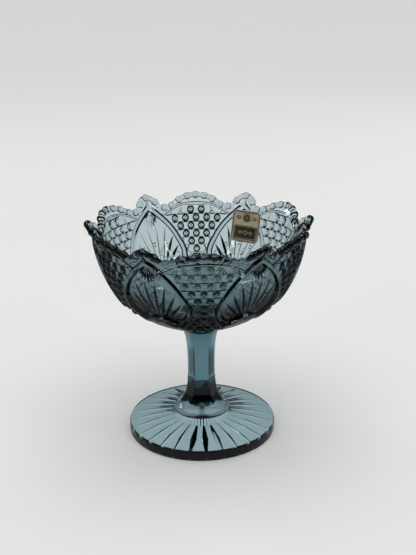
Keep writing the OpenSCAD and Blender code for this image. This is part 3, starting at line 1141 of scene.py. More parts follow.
@dataclass
class Bowl:
    """The open bowl: its turned wall, moulded relief, scalloped edge and beads, as one skin of glass."""

    base: float = 85.0
    rise: float = 65.0
    radius: float = 73.1
    thickness: float = 4.2
    floor: float = 6.0
    edge_thickness: float = 3.4
    flare_reach: float = 6.6
    rim_rise: float = 11.0
    scallop_depth: float = 7.2
    wide_radius: float = 31.0
    narrow_radius: float = 8.0
    narrow_lift: float = 0.7
    bead: float = 6.1
    bead_detail: int = 3
    beads_per_repeat: int = 12
    outer_shares: tuple = ((0.205, 0), (0.602, 0.042), (0.923, 0.355), (1, 1))
    inner_shares: tuple = ((0, 0), (0.585, 0.008), (0.921, 0.311), (1, 1))
    bead_web: float = 1.8
    roll: float = 2.3
    flare_shares: tuple = ((0, 0), (0.12, 0.137), (0.33, 0.323), (0.6, 0.526), (0.93, 0.76), (1, 1))
    wall_steps: int = 60
    flare_steps: int = 24
    roll_steps: int = 61
    roll_sides: int = 14
    edge_columns: int = 36
    edge_steps: int = 240
    edge_reach: int = 12
    edge_softness: float = 5.0
    spacing: float = 3.4
    inner_spacing: float = 4.42
    side_step: float = 3.0
    outer_foot: tuple[float, int] = (0.0, 6)
    inner_foot: tuple[float, int] = (3.0, 3)
    crease: float = math.radians(32)

    def __post_init__(self) -> None:
        """Works out the wall's two turned lines, its relief and the level of its scalloped edge."""
        self.edge_top = self.base + self.rise + self.rim_rise - self.bead / 2
        self.dip = self.edge_top - self.scallop_depth
        flare_rise = self.edge_top + self.bead_web + self.narrow_lift - self.base - self.rise
        top = self.base + self.rise
        inner_radius = self.radius - self.thickness
        outer = bezier(self.outer_shares, self.radius, self.rise, self.base, self.wall_steps)
        depth, level = self.rise - self.floor, self.base + self.floor
        inner = bezier(self.inner_shares, inner_radius, depth, level, self.wall_steps)
        length = math.hypot(self.flare_reach, flare_rise)
        tip = np.array([self.radius + self.flare_reach, top + flare_rise])
        tip_in = tip + self.edge_thickness / length * np.array([-flare_rise, self.flare_reach])
        share = evened(np.array(self.flare_shares), self.flare_steps)[1:]
        flare = share * [self.flare_reach, flare_rise] + [self.radius, top]
        flare_in = share * (tip_in - [inner_radius, top]) + [inner_radius, top]
        self.outside = Profile(np.concatenate([outer, flare, [tip + (tip - flare[-3]) * 0.5]]))
        self.inside = Profile(np.concatenate([inner, flare_in, [tip_in + (tip_in - flare_in[-3]) * 0.5]]))
        self.pattern = Pattern(self.outside)
        self.turns = np.linspace(-HALF, HALF, self.edge_steps, endpoint=False)
        levels = np.array([self.settled_level(t) for t in self.turns])
        reach = self.edge_reach
        spread = np.exp(-(np.arange(-reach, reach + 1) / self.edge_softness) ** 2)
        whole_turn = np.concatenate([levels[-reach:], levels, levels[:reach]])
        self.levels = np.convolve(whole_turn, spread / spread.sum(), "valid")

    def bead_level(self, turn: float) -> float:
        """Height of the beads' middles at an angle, with the scallops' corners softened."""
        return float(np.interp(turn, self.turns, self.levels, period=2 * HALF))

    def edge_level(self, turn: float, radius: float) -> float:
        """Height of the scalloped edge.

        Args:
            turn: The angle from a panel's middle.
            radius: The rim's radius there.

        Returns:
            The height of the highest scallop over that place, or of the dip between two.
        """
        levels = [self.dip]
        arcs = (
            (0.0, self.wide_radius, self.edge_top),
            (2 * HALF, self.wide_radius, self.edge_top),
            (HALF, self.narrow_radius, self.edge_top + self.narrow_lift),
        )
        for centre, arc, top in arcs:
            across = radius * math.sin(centre - abs(turn))
            if abs(across) < arc:
                levels.append(top - arc + math.sqrt(arc**2 - across**2))
        return max(levels)

    def rim_radius(self, level: float) -> float:
        """Returns the radius of the edge's middle at a height."""
        return sum(side.radius(side.run_at(level)) for side in (self.outside, self.inside)) / 2

    def settled_level(self, turn: float) -> float:
        """Height of the scalloped edge, on the rim's real radius.

        Args:
            turn: The angle from a panel's middle.

        Returns:
            The height.
        """
        level = self.dip
        for _ in range(4):
            level = self.edge_level(turn, self.rim_radius(level))
        return level

    def half_repeat(self) -> tuple[np.ndarray, list]:
        """Builds the skin from a panel's middle to a medallion's middle.

        Returns:
            The corners in millimetres and the faces.
        """
        turns = np.linspace(0, HALF, self.edge_columns + 1)
        levels = np.array([self.bead_level(t) for t in turns])
        skin = Skin()
        tops = [self.half_wall(skin, turns, levels, inward) for inward in (False, True)]
        count = len(turns)
        skin.add(np.vstack(tops), [(i, i + 1, count + i + 1, count + i) for i in range(count - 1)])
        return np.vstack(skin.verts), skin.faces

    def half_wall(self, skin: Skin, turns: np.ndarray, levels: np.ndarray, inward: bool) -> np.ndarray:
        """Adds one side of the wall, with its relief if it is the outside, and the disc at its foot.

        Args:
            skin: What it is added to.
            turns: The angles of the columns at the edge.
            levels: The edge's height at each.
            inward: Whether it is the inside.

        Returns:
            The points along the edge.
        """
        profile, (low, feet) = (self.inside, self.inner_foot) if inward else (self.outside, self.outer_foot)
        top_runs = profile.run_at(levels)
        foot_turns = np.linspace(0, HALF, feet + 1)
        sides = np.arange(low, top_runs.min() - 2, self.side_step)[1:]
        border = [(t, low) for t in foot_turns] + [(HALF, r) for r in sides]
        border += [(t, r) for t, r in zip(turns[::-1], top_runs[::-1])]
        border += [(0.0, r) for r in sides[::-1]]

        def top(turn: float) -> float:
            """Returns the edge's run at an angle."""
            return float(np.interp(turn, turns, top_runs))

        guides = [] if inward else kept_inside(self.pattern.guides(), 0.0, HALF, top)
        spacing = self.inner_spacing if inward else self.spacing
        spots, patch = triangulated(np.array(border), guides, spacing, self.pattern.chart_scale)
        lift = np.zeros(len(spots)) if inward else self.pattern.lift(spots[:, 0], spots[:, 1])
        skin.add(profile.placed(spots[:, 0], spots[:, 1], lift), patch, inward)
        ring = profile.placed(foot_turns, np.full(feet + 1, low), np.zeros(feet + 1))
        pole = [0, 0, self.base + (self.floor if inward else 0)]
        skin.add(np.vstack([ring, pole]), [(i, i + 1, feet + 1) for i in range(feet)], not inward)
        return profile.placed(turns, top_runs, np.zeros(len(turns)))

    def repeat(self) -> bpy.types.Object:
        """Builds one whole repeat with a loose point at each bead's centre.

        Returns:
            The object that the node tree turns into the bowl.
        """
        verts, faces = self.half_repeat()
        other = verts * [-1, 1, 1]
        count = len(verts)
        all_faces = faces + [[count + i for i in reversed(f)] for f in faces]
        turns = np.linspace(-HALF, HALF, self.beads_per_repeat, endpoint=False)
        beads = [self.rim_point(turn) for turn in turns]
        roll = [self.rim_point(turn) for turn in np.linspace(-HALF, HALF, self.roll_steps)]
        first = 2 * count + len(beads)
        edges = [(first + i, first + i + 1) for i in range(len(roll) - 1)]
        obj = mesh_object("glass_bowl", np.vstack([verts, other, beads, roll]), all_faces, edges)
        for label, start, size in (("bead", 2 * count, len(beads)), ("roll", first, len(roll))):
            flags = np.zeros(len(obj.data.vertices), bool)
            flags[start:start + size] = True
            obj.data.attributes.new(label, "BOOLEAN", "POINT").data.foreach_set("value", flags)
        return obj

    def rim_point(self, turn: float) -> tuple[float, float, float]:
        """Finds the middle of the rim's glass, where a bead's middle would be.

        Args:
            turn: The angle from a panel's middle.

        Returns:
            The point.
        """
        level = self.bead_level(turn)
        r = self.rim_radius(level)
        return r * math.sin(turn), -r * math.cos(turn), level

    def tree(self) -> NodeTree:
        """The node tree that repeats the skin round the axis and fuses on the rim's roll and its beads.

        Returns:
            The tree.
        """
        tree = NodeTree("press_bowl", {
            "Repeats": "Int", "Bead Radius": "Float", "Bead Detail": "Int", "Roll Radius": "Float",
            "Crease": "Float", "Finish": "Material",
        })
        whole = tree.ring(tree.taken("Repeats"), 0.0, tree.taken("Geometry"))
        marked = tree.add("GeometryNodeInputNamedAttribute", {"data_type": "BOOLEAN"}, Name="bead")
        parted = tree.add("GeometryNodeSeparateGeometry", Geometry=whole)
        tree.feed(parted.inputs["Selection"], marked.outputs["Attribute"])
        rolled = tree.add("GeometryNodeInputNamedAttribute", {"data_type": "BOOLEAN"}, Name="roll")
        rest = tree.add("GeometryNodeSeparateGeometry", Geometry=parted.outputs["Inverted"])
        tree.feed(rest.inputs["Selection"], rolled.outputs["Attribute"])
        skin = tree.add("GeometryNodeMergeByDistance", Geometry=rest.outputs["Inverted"], Distance=3e-6)
        line = tree.add("GeometryNodeMergeByDistance", Geometry=rest.outputs["Selection"], Distance=1e-5)
        path = tree.add("GeometryNodeMeshToCurve", Mesh=line.outputs[0])
        section = tree.add("GeometryNodeCurvePrimitiveCircle", Resolution=self.roll_sides)
        tree.feed(section.inputs["Radius"], tree.taken("Roll Radius"))
        roll = tree.add("GeometryNodeCurveToMesh", Curve=path.outputs[0], Profile_Curve=section.outputs[0])
        ball = tree.add("GeometryNodeMeshIcoSphere", Radius=tree.taken("Bead Radius"))
        tree.feed(ball.inputs["Subdivisions"], tree.taken("Bead Detail"))
        spots = tree.add("GeometryNodeMeshToPoints", Mesh=parted.outputs["Selection"])
        set_on = tree.add("GeometryNodeInstanceOnPoints", Points=spots.outputs[0])
        tree.feed(set_on.inputs["Instance"], ball.outputs["Mesh"])
        balls = tree.add("GeometryNodeRealizeInstances", Geometry=set_on.outputs[0])
        fused = tree.joined("UNION", skin.outputs[0], [balls.outputs[0], roll.outputs[0]])
        tree.close(fused, tree.taken("Crease"))
        return tree

    def make(self, finish: bpy.types.Material) -> bpy.types.Object:
        """Builds the bowl, dresses it and lets it stand for the solids of the bowl and its relief.

        Args:
            finish: The glass.

        Returns:
            The finished piece.
        """
        obj = self.repeat()
        grown(obj, self.tree(), {
            "Repeats": REPEATS, "Bead Radius": self.bead / 2 * MM, "Bead Detail": self.bead_detail,
            "Roll Radius": self.roll * MM, "Crease": self.crease, "Finish": finish,
        })
        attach(obj, "root")
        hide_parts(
            "bowl", "rim_beads", "buttons", "panel_arches", "medallion_borders", "medallion_fans"
        )
        return obj


def turned(points: list[tuple[float, float]], segments: int) -> tuple[np.ndarray, list]:
    """Turns a closed outline round the Z axis.

    Args:
        points: Radius and height from the axis at the bottom to the axis at the top, anticlockwise.
        segments: Number of steps round.

    Returns:
        The corners and the faces, with a single corner where the outline meets the axis.
    """
    verts: list = [(0.0, 0.0, points[0][1]), (0.0, 0.0, points[-1][1])]
    rings = points[1:-1]
    for r, z in rings:
        for i in range(segments):
            a = 2 * math.pi * i / segments
            verts.append((r * math.sin(a), -r * math.cos(a), z))
    return np.array(verts), rings_closed(len(rings), segments)


def rings_closed(rings: int, count: int) -> list[tuple[int, ...]]:
    """Joins stacked rings of corners into a skin that two poles close.

    Args:
        rings: How many rings there are, from the bottom up.
        count: How many corners each has, numbered on from the two poles, which come first.

    Returns:
        The faces.
    """

    def at(ring: int, i: int) -> int:
        """Returns the number of a ring's corner."""
        return 2 + ring * count + i % count

    faces: list[tuple[int, ...]] = []
    for i in range(count):
        faces.append((0, at(0, i + 1), at(0, i)))
        faces.append((1, at(rings - 1, i), at(rings - 1, i + 1)))
        faces += [(at(k, i), at(k, i + 1), at(k + 1, i + 1), at(k + 1, i)) for k in range(rings - 1)]
    return faces


@dataclass
class Stand:
    """The stem and foot: a six-sided stem between a seat and a collar, on a round foot rayed underneath."""

    seat_radius: float = 15.8
    seat_bottom: float = 81.5
    seat_top: float = 84.97
    stem_bottom: float = 18.5
    waist: float = 10.1
    stem_shares: tuple = (
        (1.88, 0), (1.68, 0.027), (1.53, 0.055), (1.42, 0.084), (1.3, 0.12), (1.19, 0.16), (1.11, 0.21),
        (1.045, 0.29), (1.005, 0.38), (1, 0.52), (1.018, 0.67), (1.06, 0.775), (1.12, 0.838), (1.2, 0.89),
        (1.3, 0.94), (1.42, 1),
    )
    stem_overlap: float = 0.6
    stem_side_steps: int = 14
    stem_levels: int = 60
    stem_smoothing: int = 6
    corner_softness: float = 0.0264
    corner_sharpness: int = 12
    round_from: float = 1.25
    round_over: float = 0.6
    round_below_seat: float = 3.0
    seat_shares: tuple = ((0.94, 0), (1, 1 / 3), (0.99, 2 / 3))
    seat_top_radius: float = 14.985
    collar_radius: float = 20.6
    collar_shares: tuple = ((0.99, 0), (1, 0.3), (0.985, 0.6), (0.94, 1))
    foot_radius: float = 54.0
    edge_height: float = 7.8
    crown_height: float = 15.2
    crown_knee: tuple[float, float] = (14.0, 0.58)
    hollow_rise: float = 6.0
    hollow_peak: float = 14.0
    hollow_tip: tuple[float, float] = (0.15, 0.93)
    hollow_run_on: float = 1.0
    ring_width: float = 2.0
    edge_round: float = 1.3
    foot_round: float = 0.45
    rays: int = 27
    ray_inner: float = 21.0
    ray_outer: float = 51.6
    ray_shape: tuple[float, float, float, float] = (2.2, 1.9, 0.48, 0.35)
    lines: int = 54
    line_shape: tuple[float, float, float, float] = (0.5, 0.5, 0.6, 0.5)
    line_start_share: float = 0.3
    ray_turn: float = math.radians(1.2)
    segments: int = 162
    seat_segments: int = 96
    crease: float = math.radians(30)

    def __post_init__(self) -> None:
        """Works out the radius inside the ring that the foot rests on."""
        self.hollow_radius = self.foot_radius - self.edge_round - self.ring_width

    def foot(self) -> tuple[np.ndarray, list]:
        """Builds the turned foot with its collar.

        Returns:
            The corners and the faces.
        """
        rest = self.foot_radius - self.edge_round
        quarter = [math.radians(15 * i) for i in range(7)]
        outline = [(0.0, 0.0), (self.hollow_radius, 0.0)]
        outline += [
            (self.foot_radius - self.foot_round * (1 - math.sin(a)), self.foot_round * (1 - math.cos(a)))
            for a in quarter
        ]
        outline += [
            (rest + self.edge_round * math.cos(a), self.edge_height - self.edge_round * (1 - math.sin(a)))
            for a in quarter
        ]
        collar = [(r * self.collar_radius, self.crown_height + s * (self.stem_bottom - self.crown_height))
                  for r, s in self.collar_shares]
        knee, share = self.crown_knee
        outline += [(collar[0][0] + knee, self.edge_height + (self.crown_height - self.edge_height) * share)]
        outline += collar + [(0.0, self.stem_bottom)]
        return turned(outline, self.segments)

    def stem(self) -> tuple[np.ndarray, list]:
        """Builds the six-sided stem with softened corners, running on into the seat and the collar.

        Returns:
            The corners and the faces.
        """
        rise = self.seat_bottom - self.stem_bottom
        shares = self.smoothed(evened(np.array(self.stem_shares), self.stem_levels))
        levels = [(shares[0][0], self.stem_bottom - self.stem_overlap)]
        levels += [(share, self.stem_bottom + height * rise) for share, height in shares]
        levels += [(shares[-1][0], self.seat_bottom + self.stem_overlap)]
        count = REPEATS * self.stem_side_steps
        section = []
        for k in range(count):
            a = 2 * math.pi * k / count
            off = (a + HALF) % (2 * HALF) - HALF
            section.append((a, math.cos(HALF) / math.cos(off) - self.soft(off)))
        verts = [(0.0, 0.0, levels[0][1]), (0.0, 0.0, levels[-1][1])]
        for share, z in levels:
            low_half = z < self.stem_bottom + rise / 2
            near_seat = (z - self.seat_bottom + self.round_below_seat) / self.round_below_seat
            roundness = (share - self.round_from) / self.round_over if low_half else near_seat
            roundness = max(0.0, min(1.0, roundness))
            for a, u in section:
                r = self.waist * share * (u + (1 - u) * roundness)
                verts.append((r * math.sin(a), -r * math.cos(a), z))
        return np.array(verts), rings_closed(len(levels), count)

    def soft(self, off: float) -> float:
        """Returns how much a corner's rounding takes off at an angle from a flat's middle."""
        return self.corner_softness * (abs(off) / HALF) ** self.corner_sharpness

    def smoothed(self, shares: np.ndarray) -> np.ndarray:
        """Evens out the corners of a line, keeping its ends.

        Args:
            shares: The line's points.

        Returns:
            The softened line.
        """
        out = shares.copy()
        for _ in range(self.stem_smoothing):
            out[1:-1] = (out[:-2] + 2 * out[1:-1] + out[2:]) / 4
        return out

    def seat(self) -> tuple[np.ndarray, list]:
        """Builds the round seat under the bowl.

        Returns:
            The corners and the faces.
        """
        rise = self.seat_top - self.seat_bottom
        side = [(r * self.seat_radius, self.seat_bottom + share * rise) for r, share in self.seat_shares]
        side += [(self.seat_top_radius, self.seat_top), (0.0, self.seat_top)]
        return turned([(0.0, self.seat_bottom), *side], self.seat_segments)

    def hollow_room(self) -> tuple[np.ndarray, list]:
        """Builds the room under the foot, which rises in a cone into the stem.

        Returns:
            The corners and the faces.
        """
        below = (self.hollow_radius - self.ray_inner) / self.hollow_rise * self.hollow_run_on
        reach, rise = self.hollow_tip
        outline = [
            (0.0, -self.hollow_run_on), (self.hollow_radius + below, -self.hollow_run_on),
            (self.ray_inner, self.hollow_rise),
            (self.ray_inner * reach, self.hollow_rise + self.hollow_peak * rise),
            (0.0, self.hollow_rise + self.hollow_peak),
        ]
        return turned(outline, self.segments)

    def bar(
        self, inner: float, outer: float, roof: float, slope: float, shape: tuple[float, float, float, float]
    ) -> tuple[np.ndarray, list]:
        """Builds one groove's cutter: a flat four-sided bar that narrows to both ends and follows the roof.

        Args:
            inner: Distance from the axis to its inner end.
            outer: Distance from the axis to its outer end.
            roof: Height of its inner end.
            slope: How steeply it falls outwards, in radians.
            shape: Its half width, its depth, where it is widest and its width at the ends, both as shares.

        Returns:
            The corners and the faces.
        """
        half, depth, widest, ends = shape
        length = (outer - inner) / math.cos(slope)
        outline = [(0.0, 0.0), (ends, 0.0), (1.0, widest * length), (ends, length), (0.0, length)]
        verts, faces = turned(outline, 4)
        lean = np.array(Matrix.Rotation(math.pi / 2 + slope, 3, "X"))
        return (verts * (half, depth, 1.0)) @ lean.T + (0.0, -inner, roof), faces

    def bars(self) -> list[tuple[np.ndarray, list]]:
        """Builds the cutters of one ray and of one fine line on the cone inside the rays.

        Returns:
            The corners and the faces of each.
        """
        fall = math.atan(self.hollow_rise / (self.hollow_radius - self.ray_inner))
        reach, rise = self.hollow_tip
        steep = math.atan(self.hollow_peak * rise / (self.ray_inner * (1 - reach)))
        start = self.ray_inner * self.line_start_share
        top = self.hollow_rise + (self.ray_inner - start) * math.tan(steep)
        return [
            self.bar(self.ray_inner, self.ray_outer, self.hollow_rise, fall, self.ray_shape),
            self.bar(start, self.ray_inner, top, steep, self.line_shape),
        ]

    def tree(self) -> NodeTree:
        """The node tree that fuses the parts, hollows them from below and cuts the rays and the fine lines.

        Returns:
            The tree, which tells the parts apart by the number that make() gives them.
        """
        tree = NodeTree("press_stand", {
            "Rays": "Int", "Lines": "Int", "First Turn": "Float", "Crease": "Float", "Finish": "Material",
        })
        piece = tree.add("GeometryNodeInputNamedAttribute", {"data_type": "INT"}, Name="part")
        parts = []
        for number in range(1, 7):
            same = tree.add("FunctionNodeCompare", {"data_type": "INT", "operation": "EQUAL"})
            tree.feed(same.inputs[2], piece.outputs["Attribute"])
            tree.feed(same.inputs[3], number)
            parted = tree.add("GeometryNodeSeparateGeometry", Geometry=tree.taken("Geometry"))
            tree.feed(parted.inputs["Selection"], same.outputs[0])
            parts.append(parted.outputs["Selection"])
        whole = tree.joined("UNION", parts[0], parts[1:3])
        hollowed = tree.joined("DIFFERENCE", whole, [parts[3]])
        first = tree.taken("First Turn")
        cuts = [tree.ring(tree.taken(kind), first, part) for kind, part in zip(("Rays", "Lines"), parts[4:])]
        tree.close(tree.joined("DIFFERENCE", hollowed, cuts), tree.taken("Crease"))
        return tree

    def make(self, finish: bpy.types.Material) -> bpy.types.Object:
        """Builds the stand as one skin of glass and lets it stand for the seat, stem, collar and foot.

        Args:
            finish: The glass.

        Returns:
            The finished piece.
        """
        skin, marks = Skin(), []
        parts = (self.foot(), self.stem(), self.seat(), self.hollow_room(), *self.bars())
        for number, (points, faces) in enumerate(parts, 1):
            skin.add(points, faces)
            marks += [number] * len(points)
        obj = mesh_object("glass_stem_and_foot", np.vstack(skin.verts), skin.faces)
        obj.data.attributes.new("part", "INT", "POINT").data.foreach_set("value", marks)
        grown(obj, self.tree(), {
            "Rays": self.rays, "Lines": self.lines, "First Turn": self.ray_turn, "Crease": self.crease,
            "Finish": finish,
        })
        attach(obj, "root")
        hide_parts("seat", "stem", "collar", "foot")
        return obj


@dataclass(frozen=True)
class Lamp:
    """One narrow soft box, in metres and watts."""

    name: str
    place: tuple[float, float, float]
    aim: tuple[float, float, float] = (0.0, 0.0, 0.1)
    width: float = 0.09
    height: float = 0.8
    watts: float = 1.4

    def make(self) -> None:
        """Hangs the lamp."""
        data = bpy.data.lights.new(self.name, "AREA")
        data.shape, data.size, data.size_y, data.energy = "RECTANGLE", self.width, self.height, self.watts
        lamp = bpy.data.objects.new(self.name, data)
        lamp.location = self.place
        lamp.rotation_mode = "QUATERNION"
        lamp.rotation_quaternion = (Vector(self.aim) - Vector(self.place)).to_track_quat("-Z", "Y")
        bpy.context.collection.objects.link(lamp)


@dataclass(frozen=True)
class Room:
    """The room that lights the glass: a wide ceiling light, dim walls and a pale ground seen through it.

    A height is that of a direction, from 0 at the horizon to 1 straight up. Each soft edge is given where it
    starts and where it ends.
    """

    colour: tuple[float, float, float] = (1.0, 1.0, 0.995)
    background: float = 0.7
    ceiling_light: float = 2.25
    ceiling_edge: tuple[float, float] = (0.63, 0.87)
    ceiling_mirrored: float = 0.25
    dim_light: float = 0.05
    backdrop_edge: tuple[float, float] = (0.25, 0.05)
    sheen_light: float = 0.14
    sheen_edge: tuple[float, float] = (0.8, 0.6)
    sheen_ahead: tuple[float, float] = (-0.1, 0.4)
    mirrored_share: float = 0.03

    def make(self) -> None:
        """Builds the world, in which the camera itself sees only the plain pale background."""
        world = bpy.data.worlds.new("studio")
        bpy.context.scene.world = world
        world.use_nodes = True
        sums = Sums(world.node_tree)
        kinds = ("TexCoord", "SeparateXYZ", "LightPath", "Mix")
        place, split, seen, pick = (sums.add(kind) for kind in kinds)
        links = world.node_tree.links
        links.new(place.outputs["Generated"], split.inputs[0])
        ahead, height = split.outputs["Y"], split.outputs["Z"]
        through, mirror = seen.outputs["Is Transmission Ray"], sums.mirrored(seen)
        ceiling = sums.product(
            sums.step(height, *self.ceiling_edge, self.dim_light, self.ceiling_light),
            sums.step(mirror, 0.0, 1.0, 1.0, self.ceiling_mirrored),
        )
        wall = sums.product(sums.step(height, *self.backdrop_edge, 0.0, self.background), through)
        sheen = sums.product(
            sums.step(height, *self.sheen_edge, 0.0, self.sheen_light), sums.step(ahead, *self.sheen_ahead),
            sums.value("MAXIMUM", mirror, 0.0),
        )
        lit = sums.value("ADD", ceiling, sums.value("ADD", wall, sheen))
        inner = sums.product(seen.outputs["Glossy Depth"], through)
        pick.data_type = "FLOAT"
        links.new(seen.outputs["Is Camera Ray"], pick.inputs["Factor"])
        links.new(sums.product(lit, sums.step(inner, 0.0, 1.0, 1.0, self.mirrored_share)), pick.inputs["A"])
        pick.inputs["B"].default_value = self.background
        back = world.node_tree.nodes["Background"]
        links.new(pick.outputs["Result"], back.inputs["Strength"])
        back.inputs["Color"].default_value = (*self.colour, 1)


@dataclass
class Studio:
    """The pale table, the room with its lamps, and the camera at the photograph's viewing angle."""

    camera_place: tuple[float, float, float] = (0.0, -633.7, 343.7)
    yaw: float = 0.0089
    pitch: float = 0.3432
    roll: float = -0.0109
    pattern_turn: float = math.radians(2.04)
    lens: float = 61.28
    sensor: float = 36.0
    clip: tuple[float, float] = (0.01, 50.0)
    table_colour: tuple[float, float, float] = (0.72, 0.72, 0.715)
    table_reach: float = 12000.0
    table_gap: float = 0.02
    lamps: tuple[Lamp, ...] = (
        Lamp("strip_left", (-1.1, -0.9, 1.0)),
        Lamp("strip_right", (0.9, -0.8, 1.1)),
        Lamp("strip_back_right", (0.7, 1.0, 0.9)),
        Lamp("strip_back_left", (-0.8, 0.8, 1.0)),
    )

    def camera(self) -> None:
        """Makes the camera that was fitted to the rim and the foot."""
        cp, sp = math.cos(self.pitch), math.sin(self.pitch)
        forward = Vector((math.sin(self.yaw) * cp, math.cos(self.yaw) * cp, -sp))
        level = Vector((math.cos(self.yaw), -math.sin(self.yaw), 0))
        lift = level.cross(forward)
        right = level * math.cos(self.roll) + lift * math.sin(self.roll)
        up = lift * math.cos(self.roll) - level * math.sin(self.roll)
        turn = Matrix.Rotation(-self.pattern_turn, 4, "Z")
        axes = Matrix((right, up, -forward)).transposed().to_4x4()
        data = bpy.data.cameras.new("photo_view")
        data.lens, data.sensor_width, data.sensor_fit = self.lens, self.sensor, "AUTO"
        data.clip_start, data.clip_end = self.clip
        cam = bpy.data.objects.new("photo_view", data)
        cam.matrix_world = turn @ Matrix.Translation(Vector(self.camera_place) * MM) @ axes
        bpy.context.collection.objects.link(cam)
        bpy.context.scene.camera = cam

    def table(self) -> None:
        """Makes the wide pale table top, a hair under the foot."""
        corners = [(x * self.table_reach, y * self.table_reach, -self.table_gap)
                   for x, y in ((-1, -1), (1, -1), (1, 1), (-1, 1))]
        floor = mesh_object("table_top", np.array(corners), [(0, 1, 2, 3)])
        floor.data.materials.append(StageFinish("table_matt", self.table_colour).material())

    def make(self) -> None:
        """Builds the whole studio."""
        bpy.context.scene.view_settings.view_transform = "Standard"
        self.camera()
        self.table()
        Room().make()
        for lamp in self.lamps:
            lamp.make()


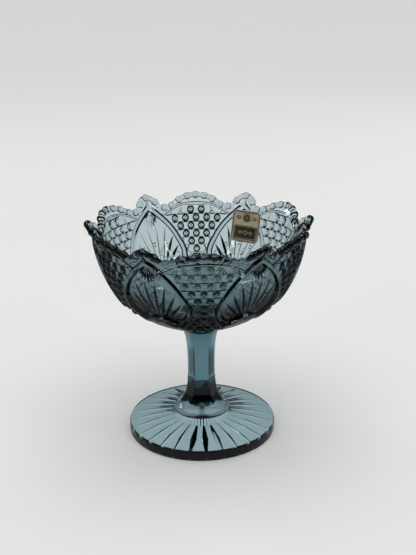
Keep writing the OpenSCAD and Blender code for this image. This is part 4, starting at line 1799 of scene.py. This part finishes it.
@dataclass
class Label:
    """The paper label on the inside of the far wall: its stock, its dark field and a printed ornament."""

    wall: Profile
    wall_top: float
    turn: float = math.radians(145.5)
    drop: float = 12.2
    width: float = 24.0
    height: float = 24.0
    margin: float = 2.0
    field_height: float = 10.5
    corner: float = 3.0
    paper: float = 0.3
    ink: float = 0.15
    cream: tuple[float, float, float] = (0.62, 0.53, 0.36)
    cream_mottle: tuple[float, float, float] = (0.52, 0.43, 0.28)
    brown: tuple[float, float, float] = (0.028, 0.02, 0.014)
    brown_mottle: tuple[float, float, float] = (0.04, 0.03, 0.022)
    print_height: float = 0.1
    print_root: float = 0.05
    keyline_inset: float = 0.9
    keyline_width: float = 0.5
    sun_lift: float = 0.1
    sun_ray: tuple[float, float] = (1.3, 3.6)
    sun_ray_count: int = 16
    sun_ray_width: float = 0.6
    sun_heart: float = 0.75
    rule_reach: tuple[float, float] = (4.8, 9.4)
    rule_taper: float = 1.2
    rule_width: float = 0.45
    frame_inset: float = 0.8
    frame_corner: float = 0.9
    frame_width: float = 0.26
    lozenge_pitch: float = 4.5
    lozenge_sizes: tuple[float, ...] = (1.5, 2.1, 1.5)
    lozenge_height: float = 0.8
    lozenge_width: float = 0.34

    def framed(self, inset: float, low: float, high: float, corner: float) -> np.ndarray:
        """Lays out a rounded frame on the label.

        Args:
            inset: How far its sides lie inside the label's.
            low: Its lower side, above the label's middle.
            high: Its upper side.
            corner: The radius of its corners.

        Returns:
            The frame's points.
        """
        w, h = self.width / 2 - inset, (high - low) / 2
        middle, turns = (high + low) / 2, np.radians(np.arange(0, 91, 15))
        spots = [np.stack([sx * (w - corner) + corner * np.cos(turns + q * math.pi / 2),
                           middle + sy * (h - corner) + corner * np.sin(turns + q * math.pi / 2)], 1)
                 for q, (sx, sy) in enumerate(((1, 1), (-1, 1), (-1, -1), (1, -1)))]
        return np.vstack(spots)

    def strip(self, line: np.ndarray, width: float, ground: float, closed: bool) -> tuple[np.ndarray, list]:
        """Builds one printed line as a thin closed strip on the wall.

        Args:
            line: Places across and up the label, from its middle.
            width: Its width.
            ground: How far off the wall the surface is that it is printed on.
            closed: Whether its ends meet.

        Returns:
            The corners and the faces.
        """
        line = np.asarray(line, float)
        ahead = np.roll(line, -1, 0) - np.roll(line, 1, 0) if closed else np.gradient(line, axis=0)
        side = np.stack([-ahead[:, 1], ahead[:, 0]], 1) / np.linalg.norm(ahead, axis=1)[:, None] * width / 2
        flat = np.concatenate([line + side, line - side, line - side, line + side])
        low, high = ground - self.print_root, ground + self.print_height
        lift = -np.repeat([high, high, low, low], len(line))
        run = self.wall_top - self.drop + flat[:, 1]
        verts = self.wall.placed(self.turn - flat[:, 0] / self.wall.radius(run), run, lift)
        count = len(line)
        faces = [(a * count + i, a * count + (i + 1) % count, b * count + (i + 1) % count, b * count + i)
                 for i in range(count if closed else count - 1) for a, b in ((0, 1), (1, 2), (2, 3), (3, 0))]
        if not closed:
            faces += [(0, count, 2 * count, 3 * count), tuple(k * count - 1 for k in (4, 3, 2, 1))]
        return verts, faces

    def printed(self, name: str, strips: list, finish: bpy.types.Material) -> bpy.types.Object:
        """Makes one colour of the print.

        Args:
            name: The piece's name.
            strips: The corners and the faces of each strip.
            finish: Its material.

        Returns:
            The finished piece.
        """
        skin = Skin()
        for points, faces in strips:
            skin.add(points, faces)
        obj = mesh_object(name, np.vstack(skin.verts), skin.faces)
        obj.data.materials.append(finish)
        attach(obj, "root")
        return obj

    def make(self) -> None:
        """Dresses the label's two solids and prints on both."""
        paper = PaperFinish("label_cream", self.cream, self.cream_mottle, 0.45).material()
        ink = PaperFinish("label_brown", self.brown, self.brown_mottle, 0.38).material()
        for node, finish in (("label", paper), ("label_field", ink)):
            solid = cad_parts[node]
            solid.data.materials.clear()
            solid.data.materials.append(finish)
            LOG.info("%s dressed with %s", node, finish.name)
        top = self.margin + self.field_height - self.height / 2
        self.printed("label_print_dark", self.dark_strips(top), ink)
        self.printed("label_print_light", self.light_strips(top), paper)

    def dark_strips(self, top: float) -> list:
        """Lays out the print on the paper: a keyline, and a sunburst between rules.

        Args:
            top: The dark field's upper side, above the label's middle.

        Returns:
            The corners and the faces of each strip.
        """
        inset, side = self.keyline_inset, self.height / 2 - self.keyline_inset
        keyline = self.framed(inset, -side, side, self.corner - inset)
        strips = [self.strip(keyline, self.keyline_width, self.paper, True)]
        heart = np.array([0.0, (top + self.height / 2) / 2 + self.sun_lift])
        for k in range(self.sun_ray_count):
            way = way_at(2 * math.pi * k / self.sun_ray_count)
            ray = [heart + way * r for r in self.sun_ray]
            strips.append(self.strip(ray, self.sun_ray_width, self.paper, False))
        turns = np.radians(np.arange(0, 360, 30))
        circle = heart + self.sun_heart * np.stack([np.cos(turns), np.sin(turns)], 1)
        strips.append(self.strip(circle, self.keyline_width, self.paper, True))
        near, far = self.rule_reach
        for side in (-1, 1):
            for rise in (-1.0, 0.0, 1.0):
                rule = [heart + (side * r, rise) for r in (near, far - abs(rise) * self.rule_taper)]
                strips.append(self.strip(rule, self.rule_width, self.paper, False))
        return strips

    def light_strips(self, top: float) -> list:
        """Lays out the print on the dark field: a frame round a row of lozenges.

        Args:
            top: The field's upper side, above the label's middle.

        Returns:
            The corners and the faces of each strip.
        """
        ground, low = self.paper + self.ink, self.margin - self.height / 2
        inset = self.frame_inset
        frame_line = self.framed(self.margin + inset, low + inset, top - inset, self.frame_corner)
        strips = [self.strip(frame_line, self.frame_width, ground, True)]
        for k, size in enumerate(self.lozenge_sizes):
            across = (k - 1) * self.lozenge_pitch
            corners = ((1, 0), (0, self.lozenge_height), (-1, 0), (0, -self.lozenge_height), (1, 0))
            lozenge = np.array([(across + size * x, (low + top) / 2 + size * y) for x, y in corners])
            strips.append(self.strip(evened(lozenge, 20)[:-1], self.lozenge_width, ground, True))
        return strips


def main() -> None:
    """Builds the studio and the part, piece by piece, and logs each glass piece's triangle count."""
    logging.basicConfig(level=logging.INFO, format="%(name)s: %(message)s")
    Studio().make()
    bowl = Bowl()
    for piece, finish in ((bowl, "blue_grey_bowl_glass"), (Stand(), "blue_grey_stem_glass")):
        made = piece.make(GlassFinish(finish).material())
        LOG.info("%s has %d triangles", made.name, sum(len(p.vertices) - 2 for p in made.data.polygons))
    Label(bowl.inside, float(bowl.inside.run_at(bowl.base + bowl.rise))).make()


if __name__ == "__main__":
    main()
